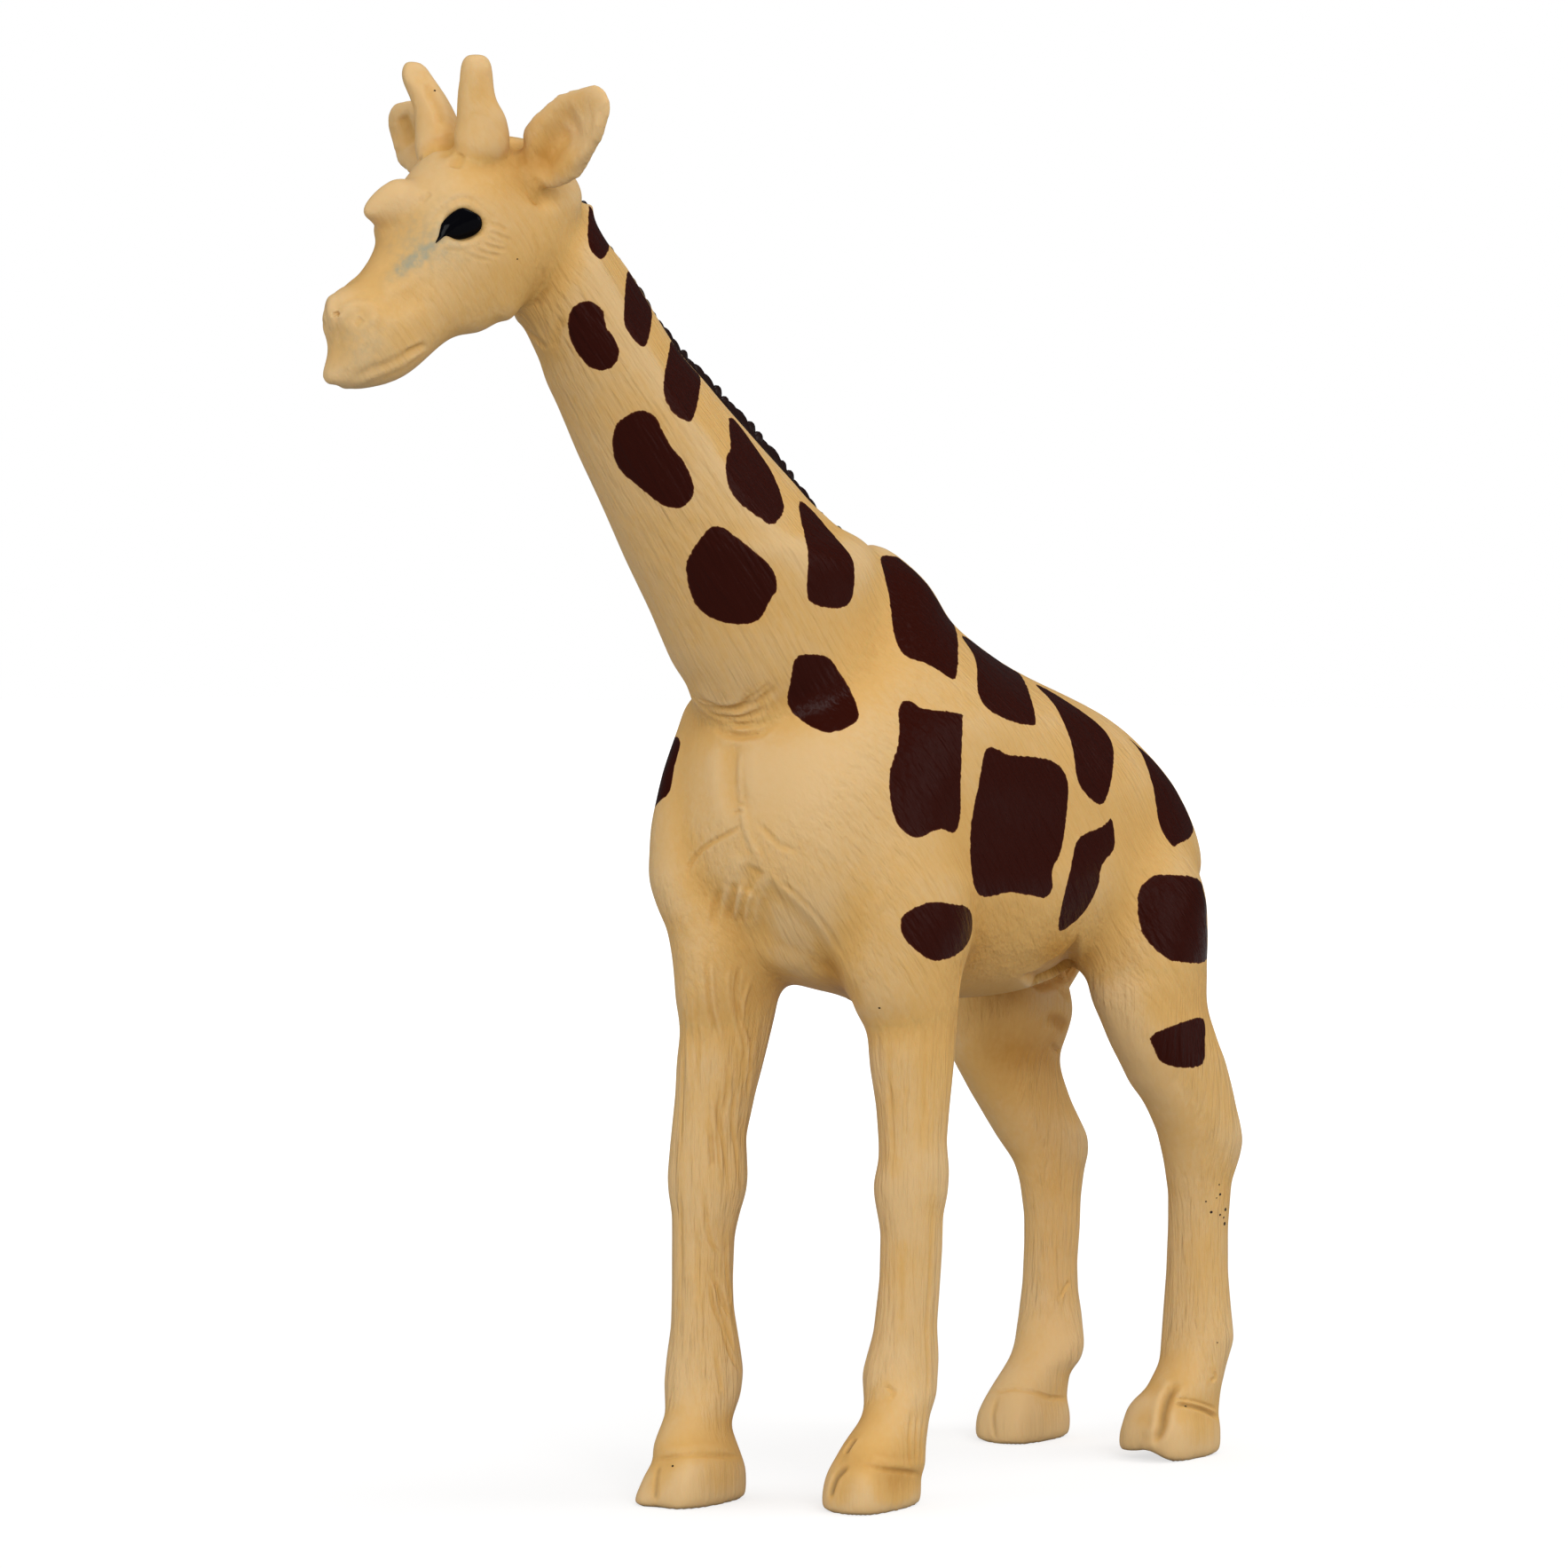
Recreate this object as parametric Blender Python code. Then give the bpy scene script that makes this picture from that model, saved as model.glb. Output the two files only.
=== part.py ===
"""A standing toy giraffe: soft vinyl mouldings joined by pegs, with painted coat patches.

The figure faces -Y, its left side is towards +X, and it stands on the ground at Z = 0.
A table whose name ends in shares holds shares, chosen by hand, of the sizes that it follows.
"""

import math

import bmesh
import bpy
from mathutils import Matrix, Vector
from mathutils.bvhtree import BVHTree

# Trunk sizes in metres. Its depth is from the lowest belly to the withers.
TRUNK_LENGTH = 0.089
TRUNK_HALF_WIDTH = 0.0185
TRUNK_DEPTH = 0.0590
CAVITY_HALF_WIDTH = 0.0090
VENT_DIAMETER = 0.0011

# Muscle masses on the trunk. Their depths run fore and aft.
SHOULDER_HALF_DEPTH = 0.0145
SHOULDER_HALF_WIDTH = 0.0095
HAUNCH_HALF_DEPTH = 0.0122
HAUNCH_HALF_WIDTH = 0.0085

# Neck
NECK_LENGTH = 0.0700
NECK_LEAN = math.radians(43.8)
NECK_ROOT_HALF_WIDTH = 0.0140
NECK_ROOT_HALF_DEPTH = 0.0170
MANE_HALF_WIDTH = 0.0013
MANE_HEIGHT = 0.0017

# Head. Its length runs from the poll to the tip of the nose.
HEAD_LENGTH = 0.0280
HEAD_HEIGHT = 0.0304
HEAD_HALF_WIDTH = 0.0080
HEAD_TURN = math.radians(12.0)
BROW_KNOB_RADIUS = 0.0026
EYE_HALF_WIDTH = 0.0025
EYE_HALF_HEIGHT = 0.0019
OSSICONE_HEIGHT = 0.0112
OSSICONE_ROOT_RADIUS = 0.0036
EAR_LENGTH = 0.0168
EAR_HALF_WIDTH = 0.0054
EAR_THICKNESS = 0.0026

# Legs. Their length is from the ground to the lowest belly, and half sizes are those of the
# thickest ring.
LEG_LENGTH = 0.0576
FORE_LEG_HALF_DEPTH = 0.0096
FORE_LEG_HALF_WIDTH = 0.0067
HIND_LEG_HALF_DEPTH = 0.0114
HIND_LEG_HALF_WIDTH = 0.0071
CLEFT_WIDTH = 0.0009

# Tail
TAIL_LENGTH = 0.0200
TAIL_RADIUS = 0.0023
TUFT_LENGTH = 0.0150
TUFT_RADIUS = 0.0030

# Joints between the mouldings, and the paint on them
GAP = 0.0003
PEG_REACH = 0.0050
LEG_PEG_RADIUS = 0.0026
NECK_PEG_RADIUS = 0.0045
HEAD_PEG_RADIUS = 0.0030
TRIM_PEG_RADIUS = 0.0011
TRIM_PEG_REACH = 0.0022
PAINT_THICKNESS = 0.0003

# Trunk rings from chest to rump: along, top, bottom, half width, egg
TRUNK_RING_SHARES = (
    (0.000, 0.520, 0.300, 0.24, 0.00),
    (0.022, 0.610, 0.200, 0.55, 0.00),
    (0.075, 0.740, 0.090, 0.83, 0.00),
    (0.165, 0.905, 0.038, 0.95, -0.07),
    (0.260, 1.000, 0.016, 0.98, -0.15),
    (0.345, 0.935, 0.006, 0.97, -0.18),
    (0.445, 0.815, 0.000, 0.96, -0.15),
    (0.570, 0.728, 0.002, 0.94, -0.11),
    (0.697, 0.658, 0.050, 0.86, -0.04),
    (0.800, 0.572, 0.115, 0.78, 0.02),
    (0.885, 0.468, 0.168, 0.71, 0.06),
    (0.945, 0.370, 0.195, 0.58, 0.06),
    (0.990, 0.290, 0.240, 0.20, 0.00),
)

# Shoulder rings from elbow to withers: height, along, follow, out, half depth, half width
# Follow is how much of the leg's own step forward the ring takes.
SHOULDER_RING_SHARES = (
    (-0.020, 0.215, 1.00, 0.54, 0.50, 0.60),
    (0.060, 0.215, 1.00, 0.54, 0.68, 0.76),
    (0.200, 0.210, 0.75, 0.52, 0.82, 0.88),
    (0.370, 0.200, 0.40, 0.50, 0.98, 1.00),
    (0.560, 0.205, 0.20, 0.46, 0.98, 0.98),
    (0.730, 0.240, 0.05, 0.34, 0.80, 0.82),
    (0.890, 0.280, 0.00, 0.13, 0.28, 0.32),
)

# Haunch rings from stifle to croup, in the same columns
HAUNCH_RING_SHARES = (
    (0.000, 0.762, 0.0, 0.64, 0.70, 0.60),
    (0.110, 0.757, 0.0, 0.62, 0.96, 0.92),
    (0.250, 0.757, 0.0, 0.54, 0.98, 1.00),
    (0.370, 0.758, 0.0, 0.42, 0.84, 0.96),
    (0.455, 0.762, 0.0, 0.26, 0.58, 0.68),
    (0.505, 0.768, 0.0, 0.12, 0.30, 0.34),
)

# Cavity rings: along, top, bottom, half width
CAVITY_RING_SHARES = (
    (0.200, 0.55, 0.42, 0.45),
    (0.260, 0.70, 0.30, 0.85),
    (0.360, 0.76, 0.22, 1.00),
    (0.500, 0.66, 0.18, 1.00),
    (0.640, 0.56, 0.20, 0.90),
    (0.740, 0.46, 0.30, 0.55),
)
CAVITY_MIDDLE_SHARE = 0.45
VENT_ALONG_SHARE = 0.27

# Neck rings from root to crown: along, bow, half depth, half width
NECK_ROOT_ALONG_SHARE = 0.157
NECK_ROOT_HEIGHT_SHARE = 0.736
NECK_PEG_SHARE = 0.18
HEAD_PEG_SHARE = 0.86
NECK_RING_SHARES = (
    (-0.10, 0.000, 0.920, 0.800),
    (0.14, -0.010, 0.865, 0.870),
    (0.27, -0.024, 0.735, 0.740),
    (0.40, -0.038, 0.635, 0.645),
    (0.54, -0.044, 0.550, 0.575),
    (0.68, -0.046, 0.490, 0.520),
    (0.84, -0.034, 0.485, 0.475),
    (1.00, -0.010, 0.470, 0.465),
)

# Mane rings from behind the ears down the neck: along the neck, height, half width
MANE_RING_SHARES = (
    (0.960, 0.30, 0.45),
    (0.890, 0.80, 0.90),
    (0.790, 0.80, 0.90),
    (0.690, 0.90, 1.00),
    (0.580, 1.00, 1.00),
    (0.480, 0.95, 0.95),
    (0.380, 0.30, 0.40),
)

# Head rings from nape to nose: top (forward, up), bottom (forward, up), half width, egg
HEAD_RING_SHARES = (
    (-0.230, 0.850, -0.150, 0.520, 0.50, 0.00),
    (-0.120, 0.945, 0.020, 0.325, 0.84, 0.00),
    (0.080, 0.985, 0.180, 0.235, 0.98, 0.06),
    (0.290, 0.960, 0.350, 0.195, 1.00, 0.10),
    (0.460, 0.890, 0.460, 0.130, 0.95, 0.14),
    (0.565, 0.745, 0.555, 0.050, 0.80, 0.10),
    (0.635, 0.570, 0.640, 0.010, 0.62, 0.02),
    (0.745, 0.395, 0.755, -0.005, 0.55, -0.04),
    (0.830, 0.335, 0.830, 0.005, 0.50, 0.00),
    (0.870, 0.270, 0.865, 0.065, 0.35, 0.00),
)
HEAD_SEAT_SHARES = (0.091, 0.667)
BROW_KNOB_SHARES = (0.605, 0.690)
EYE_SHARES = (0.450, 0.600, 0.76)

# Ossicone rings from root to tip: height, lean forward, lean out, radius
OSSICONE_ROOT_SHARES = (0.300, 0.46, 0.870)
OSSICONE_RING_SHARES = (
    (-0.12, -0.02, -0.02, 1.20),
    (0.16, 0.00, 0.01, 0.95),
    (0.45, 0.04, 0.06, 0.66),
    (0.88, 0.09, 0.14, 0.58),
    (1.00, 0.10, 0.15, 0.44),
)

# Ear rings from root to tip: along, half width, thickness
EAR_ROOT_SHARES = (0.100, 0.64, 0.800)
EAR_TIP_SHARES = (0.110, 2.44, 1.070)
EAR_FACING_OUT_SHARE = 0.45
EAR_RING_SHARES = (
    (0.00, 0.50, 0.95),
    (0.20, 0.80, 1.00),
    (0.42, 1.00, 0.80),
    (0.66, 0.98, 0.55),
    (0.87, 0.70, 0.45),
    (1.00, 0.28, 0.35),
)
EAR_CUP_SHARE = 0.72
EAR_CUP_LIFT_SHARE = 1.35

# Leg rings from sole to top: height over the leg length, back, half depth, half width
FORE_LEG_RING_SHARES = (
    (0.000, -0.36, 0.90, 0.84),
    (0.064, -0.35, 0.87, 0.83),
    (0.125, -0.25, 0.75, 0.76),
    (0.190, -0.10, 0.58, 0.69),
    (0.270, 0.02, 0.59, 0.73),
    (0.400, 0.00, 0.51, 0.64),
    (0.550, 0.00, 0.52, 0.64),
    (0.655, -0.02, 0.62, 0.76),
    (0.760, 0.00, 0.57, 0.71),
    (0.890, 0.02, 0.67, 0.77),
    (1.000, 0.05, 0.82, 0.87),
    (1.120, 0.07, 0.84, 0.88),
)
HIND_LEG_RING_SHARES = (
    (0.000, -0.29, 0.72, 0.80),
    (0.064, -0.28, 0.70, 0.79),
    (0.122, -0.21, 0.61, 0.73),
    (0.185, -0.10, 0.48, 0.66),
    (0.265, 0.02, 0.49, 0.68),
    (0.420, 0.01, 0.42, 0.59),
    (0.570, 0.00, 0.47, 0.62),
    (0.680, -0.05, 0.66, 0.68),
    (0.780, -0.30, 0.82, 0.75),
    (0.890, -0.64, 0.96, 0.84),
    (1.000, -0.84, 1.00, 0.88),
    (1.130, -0.92, 0.90, 0.78),
)
FORE_LEG_OUT_SHARE = 0.545
FORE_LEG_ALONG_SHARES = {"left": 0.225, "right": 0.093}
HIND_LEG_OUT_SHARE = 0.68
HIND_LEG_ALONG_SHARES = {"left": 0.872, "right": 0.898}

# How far each hoof stands ahead of its shank, over the leg's half depth, and where that starts
HOOF_STEP_SHARES = {
    "fore_leg_left": 0.30,
    "fore_leg_right": 0.12,
    "hind_leg_left": 0.18,
    "hind_leg_right": 0.34,
}
HOOF_STEP_HEIGHT_SHARE = 0.27
CLEFT_SHARES = (0.62, 0.105)

# Tail rings from root to tuft: along, sideways, back, radius
TAIL_ROOT_SHARES = (0.975, 0.375)
TAIL_RING_SHARES = (
    (-0.06, 0.00, -0.14, 1.00),
    (0.15, -0.10, 0.06, 0.95),
    (0.45, -0.28, 0.10, 0.75),
    (0.75, -0.44, 0.00, 0.65),
    (1.00, -0.53, -0.10, 0.60),
)
TUFT_RING_SHARES = (
    (0.00, 0.55),
    (0.25, 0.90),
    (0.55, 1.00),
    (0.85, 0.70),
    (1.00, 0.25),
)

# Coat patches: along, up, half length, half height, and on the trunk a turn in radians
TRUNK_PATCH_SHARES = (
    (0.292, 0.815, 0.060, 0.105, -0.35),
    (0.183, 0.518, 0.066, 0.130, 0.00),
    (0.379, 0.398, 0.092, 0.145, 0.05),
    (0.405, 0.696, 0.040, 0.100, 0.60),
    (0.604, 0.560, 0.048, 0.110, 0.35),
    (0.551, 0.282, 0.034, 0.105, -0.40),
    (0.780, 0.434, 0.034, 0.090, 0.30),
    (0.744, 0.190, 0.062, 0.080, 0.00),
    (0.240, 0.196, 0.064, 0.046, 0.00),
)
NECK_PATCH_SHARES = (
    (0.788, 0.28, 0.050, 0.11),
    (0.818, -0.56, 0.056, 0.14),
    (0.648, 0.20, 0.062, 0.14),
    (0.567, -0.66, 0.084, 0.17),
    (0.419, 0.10, 0.080, 0.18),
    (0.316, -0.64, 0.078, 0.22),
    (0.219, 0.01, 0.070, 0.18),
)
THIGH_PATCH_SHARES = (0.905, -0.55, 0.055, 0.36)
PATCH_RING_SHARES = (0.5, 1.0)
PATCH_CORNER_COUNT = 12
PATCH_SQUARENESS = 2.6

CREAM = ("vinyl_cream", (0.70, 0.47, 0.22, 1.0), 0.55)
BROWN = ("paint_brown", (0.030, 0.010, 0.007, 1.0), 0.38)
BLACK = ("paint_black", (0.004, 0.004, 0.005, 1.0), 0.12)
SIDES = {"left": 1, "right": -1}
TRUNK_SIDE_COUNT = 12
NECK_SIDE_COUNT = 10
LIMB_SIDE_COUNT = 8
TRIM_SIDE_COUNT = 6
PEG_SIDE_COUNT = 10
BALL_RING_COUNT = 6
FORWARD = Vector((0, -1, 0))
UP = Vector((0, 0, 1))
ACROSS = Vector((1, 0, 0))


def clear_scene():
    for thing in list(bpy.data.objects):
        bpy.data.objects.remove(thing, do_unlink=True)


def material(finish):
    name, colour, roughness = finish
    made = bpy.data.materials.get(name) or bpy.data.materials.new(name)
    made.use_nodes = True
    shader = made.node_tree.nodes["Principled BSDF"]
    shader.inputs["Base Color"].default_value = colour
    shader.inputs["Roughness"].default_value = roughness
    shader.inputs["Metallic"].default_value = 0.0
    return made


def place(name, mesh, finish=None):
    """An object of this mesh under the figure's empty. One with no finish is a hidden guide."""
    thing = bpy.data.objects.new(name, mesh)
    bpy.context.scene.collection.objects.link(thing)
    thing.parent = bpy.data.objects.get("figure")
    if finish is None:
        thing.hide_render = True
        thing.display_type = "WIRE"
    else:
        mesh.materials.clear()
        mesh.materials.append(material(finish))
    return thing


def mesh_of(name, bm):
    bmesh.ops.recalc_face_normals(bm, faces=bm.faces)
    mesh = bpy.data.meshes.new(name)
    bm.to_mesh(mesh)
    bm.free()
    mesh.shade_smooth()
    return mesh


def ring(centre, side, up, egg=0.0):
    """A ring of a loft: side and up are its half sizes, and egg widens it towards up."""
    return centre, side, up, egg


def loft(name, rings, corners, flat_start=False, grow=0.0):
    """A closed tube through the rings, rounded by one subdivision, as a hidden guide.

    Grow is how far the rounded tube then stands off all over. A flat start keeps its first
    ring level, with a hard rim.
    """
    bm = bmesh.new()
    crease = bm.edges.layers.float.new("crease_edge")
    loops = []
    for centre, side, up, egg in rings:
        loop = []
        for corner in range(corners):
            angle = math.tau * corner / corners
            swell = 1 + egg * math.sin(angle)
            loop.append(bm.verts.new(centre + side * math.cos(angle) * swell + up * math.sin(angle)))
        loops.append(loop)
    for low, high in zip(loops, loops[1:]):
        for corner in range(corners):
            after = (corner + 1) % corners
            bm.faces.new((low[corner], low[after], high[after], high[corner]))
    start = bm.faces.new(loops[0])
    bm.faces.new(loops[-1])
    if flat_start:
        for edge in start.edges:
            edge[crease] = 1.0
    thing = place(name, mesh_of(name, bm))
    smooth = thing.modifiers.new("Round", "SUBSURF")
    smooth.levels = 1
    smooth.render_levels = 1
    stand_off(thing, grow)
    return thing


def stand_off(thing, by):
    """Moves the skin of a guide out by a clearance all over."""
    if by > 0:
        swell = thing.modifiers.new("Grow", "DISPLACE")
        swell.mid_level = 0.0
        swell.strength = by


def boolean(thing, other, operation):
    cut = thing.modifiers.new(operation.title(), "BOOLEAN")
    cut.operation = operation
    cut.solver = "EXACT"
    cut.object = other


def settled(name, thing, finish=None):
    """A new object that holds this one's shape with its modifiers applied."""
    bpy.context.view_layer.update()
    graph = bpy.context.evaluated_depsgraph_get()
    mesh = bpy.data.meshes.new_from_object(thing.evaluated_get(graph), depsgraph=graph)
    mesh.name = name
    mesh.shade_smooth()
    return place(name, mesh, finish)


def grown(thing, by, name):
    """A hidden copy of a guide that stands off from it by a clearance all over."""
    copy = settled(name, thing)
    stand_off(copy, by)
    return copy


def rod(name, start, end, radius):
    """A straight round bar as a hidden guide."""
    along = end - start
    bm = bmesh.new()
    bmesh.ops.create_cone(
        bm, cap_ends=True, segments=PEG_SIDE_COUNT, radius1=radius, radius2=radius,
        depth=along.length,
    )
    turn = along.to_track_quat("Z", "Y").to_matrix().to_4x4()
    bmesh.ops.transform(bm, matrix=Matrix.Translation((start + end) / 2) @ turn, verts=bm.verts)
    return place(name, mesh_of(name, bm))


def ball(name, centre, across, up, along):
    """An ellipsoid with these three half axes as a hidden guide."""
    bm = bmesh.new()
    bmesh.ops.create_uvsphere(
        bm, u_segments=PEG_SIDE_COUNT, v_segments=BALL_RING_COUNT, radius=1
    )
    axes = Matrix((across, along, up)).transposed().to_4x4()
    bmesh.ops.transform(bm, matrix=Matrix.Translation(centre) @ axes, verts=bm.verts)
    return place(name, mesh_of(name, bm))


def box(name, centre, half_sizes):
    bm = bmesh.new()
    bmesh.ops.create_cube(bm, size=2)
    bmesh.ops.transform(
        bm, matrix=Matrix.Translation(centre) @ Matrix.Diagonal(half_sizes).to_4x4(), verts=bm.verts
    )
    return place(name, mesh_of(name, bm))


def peg_and_socket(piece, carrier, name, foot, out, radius, reach):
    """Adds a peg to the piece, from foot along out, and the matching socket to its carrier."""
    peg = rod(name + "_peg", foot, foot + out * (reach + reach), radius)
    socket = rod(name + "_socket", foot, foot + out * (reach + reach + GAP), radius + GAP)
    boolean(piece, peg, "UNION")
    boolean(carrier, socket, "DIFFERENCE")


def trunk_point(along, up, out=0.0):
    """A place in the trunk from shares of its length, depth and half width."""
    return Vector((out * TRUNK_HALF_WIDTH, along * TRUNK_LENGTH, LEG_LENGTH + up * TRUNK_DEPTH))


def trunk_rings(shares):
    rings = []
    for along, top, bottom, half_width, egg in shares:
        half_depth = (top - bottom) / 2 * TRUNK_DEPTH
        centre = trunk_point(along, (top + bottom) / 2)
        rings.append(ring(centre, ACROSS * half_width * TRUNK_HALF_WIDTH, UP * half_depth, egg))
    return rings


def mass_rings(shares, side, step, half_depth, half_width):
    """Rings of a muscle mass. Step is the share of the trunk that its leg stands ahead."""
    rings = []
    for height, along, follow, out, depth_share, width_share in shares:
        centre = trunk_point(along - follow * step, height, SIDES[side] * out)
        rings.append(
            ring(centre, ACROSS * width_share * half_width, FORWARD * depth_share * half_depth)
        )
    return rings


def make_trunk_guide(name, grow=0.0):
    """The trunk with its muscle masses, standing off by grow all over."""
    trunk = loft(name + "_barrel", trunk_rings(TRUNK_RING_SHARES), TRUNK_SIDE_COUNT, grow=grow)
    for side in SIDES:
        step = FORE_LEG_ALONG_SHARES["left"] - FORE_LEG_ALONG_SHARES[side]
        shoulder = mass_rings(
            SHOULDER_RING_SHARES, side, step, SHOULDER_HALF_DEPTH, SHOULDER_HALF_WIDTH
        )
        haunch = mass_rings(HAUNCH_RING_SHARES, side, 0.0, HAUNCH_HALF_DEPTH, HAUNCH_HALF_WIDTH)
        boolean(trunk, loft(name + "_shoulder_" + side, shoulder, LIMB_SIDE_COUNT, grow=grow), "UNION")
        boolean(trunk, loft(name + "_haunch_" + side, haunch, LIMB_SIDE_COUNT, grow=grow), "UNION")
    return settled(name, trunk)


def make_torso(guide):
    torso = settled("torso", guide, CREAM)
    rings = []
    for along, top, bottom, half_width in CAVITY_RING_SHARES:
        half_depth = (top - bottom) / 2 * TRUNK_DEPTH
        centre = trunk_point(along, (top + bottom) / 2)
        rings.append(ring(centre, ACROSS * half_width * CAVITY_HALF_WIDTH, UP * half_depth))
    cavity = loft("cavity_guide", rings, LIMB_SIDE_COUNT)
    vent_top = trunk_point(VENT_ALONG_SHARE, CAVITY_MIDDLE_SHARE)
    vent_low = vent_top - UP * (LEG_LENGTH + CAVITY_MIDDLE_SHARE * TRUNK_DEPTH)
    vent = rod("vent_guide", vent_low, vent_top, VENT_DIAMETER / 2)
    boolean(torso, cavity, "DIFFERENCE")
    boolean(torso, vent, "DIFFERENCE")
    return torso


def neck_axes():
    """The neck's root, the way it rises and the way its back faces."""
    root = trunk_point(NECK_ROOT_ALONG_SHARE, NECK_ROOT_HEIGHT_SHARE)
    rise = FORWARD * math.sin(NECK_LEAN) + UP * math.cos(NECK_LEAN)
    back = UP * math.sin(NECK_LEAN) - FORWARD * math.cos(NECK_LEAN)
    return root, rise, back


def neck_place(along):
    """Centre, half depth and half width of the neck at a share of its length."""
    root, rise, back = neck_axes()
    for before, after in zip(NECK_RING_SHARES, NECK_RING_SHARES[1:]):
        if along <= after[0]:
            break
    part = (along - before[0]) / (after[0] - before[0])
    bow, depth, width = (low + (high - low) * part for low, high in zip(before[1:], after[1:]))
    centre = root + rise * along * NECK_LENGTH + back * bow * NECK_LENGTH
    return centre, depth * NECK_ROOT_HALF_DEPTH, width * NECK_ROOT_HALF_WIDTH


def make_neck_guide():
    back = neck_axes()[2]
    rings = []
    for shares in NECK_RING_SHARES:
        centre, depth, width = neck_place(shares[0])
        rings.append(ring(centre, ACROSS * width, back * depth))
    return loft("neck_guide", rings, NECK_SIDE_COUNT)


def head_axes():
    """The head's origin below the poll, at chin level, and its forward and left directions."""
    turn = Matrix.Rotation(-HEAD_TURN, 3, "Z")
    forward = turn @ FORWARD
    left = turn @ ACROSS
    seat_forward, seat_up = HEAD_SEAT_SHARES
    top = neck_place(1.0)[0]
    origin = top + forward * seat_forward * HEAD_LENGTH - UP * seat_up * HEAD_HEIGHT
    return origin, forward, left


def head_point(along, up, out=0.0):
    """A place in the head from shares of its length, height and half width."""
    origin, forward, left = head_axes()
    return (
        origin
        + forward * along * HEAD_LENGTH
        + UP * up * HEAD_HEIGHT
        + left * out * HEAD_HALF_WIDTH
    )


def make_head_guide(name, grow=0.0):
    left = head_axes()[2]
    rings = []
    for top_along, top_up, low_along, low_up, half_width, egg in HEAD_RING_SHARES:
        top = head_point(top_along, top_up)
        low = head_point(low_along, low_up)
        rings.append(
            ring((top + low) / 2, left * half_width * HEAD_HALF_WIDTH, (top - low) / 2, egg)
        )
    head = loft(name + "_skull", rings, NECK_SIDE_COUNT, grow=grow)
    radius = BROW_KNOB_RADIUS + grow
    knob = ball(
        name + "_knob",
        head_point(*BROW_KNOB_SHARES),
        left * radius,
        UP * radius,
        head_axes()[1] * radius,
    )
    boolean(head, knob, "UNION")
    return settled(name, head)


def make_eyes(head):
    _, forward, left = head_axes()
    along, up, out = EYE_SHARES
    for side, sign in SIDES.items():
        centre = head_point(along, up, sign * out)
        reach = left * EYE_HALF_HEIGHT
        eye = ball("eye_guide_" + side, centre, reach, UP * EYE_HALF_HEIGHT, forward * EYE_HALF_WIDTH)
        boolean(head, grown(eye, GAP, "eye_room_" + side), "DIFFERENCE")
        settled("eye_" + side, eye, BLACK)


def make_ossicones(head, head_room):
    _, forward, left = head_axes()
    root_along, root_out, root_up = OSSICONE_ROOT_SHARES
    for side, sign in SIDES.items():
        root = head_point(root_along, root_up, sign * root_out)
        rings = []
        for height, lean, spread, radius_share in OSSICONE_RING_SHARES:
            centre = root + (UP * height + forward * lean + left * sign * spread) * OSSICONE_HEIGHT
            radius = radius_share * OSSICONE_ROOT_RADIUS
            rings.append(ring(centre, left * radius, forward * radius))
        guide = loft("ossicone_guide_" + side, rings, TRIM_SIDE_COUNT)
        boolean(guide, head_room, "DIFFERENCE")
        peg_and_socket(
            guide, head, "ossicone_" + side, root + UP * TRIM_PEG_REACH, -UP, TRIM_PEG_RADIUS,
            TRIM_PEG_REACH,
        )
        settled("ossicone_" + side, guide, CREAM)


def make_ears(head, head_room):
    _, forward, left = head_axes()
    for side, sign in SIDES.items():
        along, out, up = EAR_ROOT_SHARES
        root = head_point(along, up, sign * out)
        along, out, up = EAR_TIP_SHARES
        reach = (head_point(along, up, sign * out) - root).normalized()
        outlook = forward + left * sign * EAR_FACING_OUT_SHARE
        facing = (outlook - reach * outlook.dot(reach)).normalized()
        across = reach.cross(facing)
        rings = []
        cups = []
        for share, width_share, thick_share in EAR_RING_SHARES:
            centre = root + reach * share * EAR_LENGTH
            width = width_share * EAR_HALF_WIDTH
            thick = thick_share * EAR_THICKNESS / 2
            rings.append(ring(centre, across * width, facing * thick))
            hollow = centre + facing * thick * EAR_CUP_LIFT_SHARE
            cups.append(ring(hollow, across * width * EAR_CUP_SHARE, facing * thick))
        guide = loft("ear_guide_" + side, rings, LIMB_SIDE_COUNT)
        cup = loft("ear_cup_guide_" + side, cups[1:-1], TRIM_SIDE_COUNT)
        boolean(guide, cup, "DIFFERENCE")
        boolean(guide, head_room, "DIFFERENCE")
        settled("ear_" + side, guide, CREAM)


def make_leg(name, shares, foot, half_depth, half_width, torso, torso_room):
    rings = []
    for height, back, depth_share, width_share in shares:
        lowness = max(1 - height / HOOF_STEP_HEIGHT_SHARE, 0)
        step = back - HOOF_STEP_SHARES[name] * min(lowness + lowness, 1)
        centre = foot + UP * height * LEG_LENGTH - FORWARD * step * half_depth
        rings.append(
            ring(centre, ACROSS * width_share * half_width, FORWARD * depth_share * half_depth)
        )
    guide = loft(name + "_guide", rings, LIMB_SIDE_COUNT, flat_start=True)
    boolean(guide, torso_room, "DIFFERENCE")
    leg = settled(name, guide, CREAM)
    top = rings[-2][0]
    start = Vector((top.x, top.y, LEG_LENGTH - PEG_REACH))
    peg_and_socket(leg, torso, name, start, UP, LEG_PEG_RADIUS, PEG_REACH)
    sole_centre, _, sole_forward, _ = rings[0]
    reach_share, height_share = CLEFT_SHARES
    toe = sole_centre + sole_forward
    cleft = box(
        name + "_cleft",
        toe,
        Vector((CLEFT_WIDTH / 2, reach_share * half_depth, height_share * LEG_LENGTH)),
    )
    boolean(leg, cleft, "DIFFERENCE")
    return guide


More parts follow.
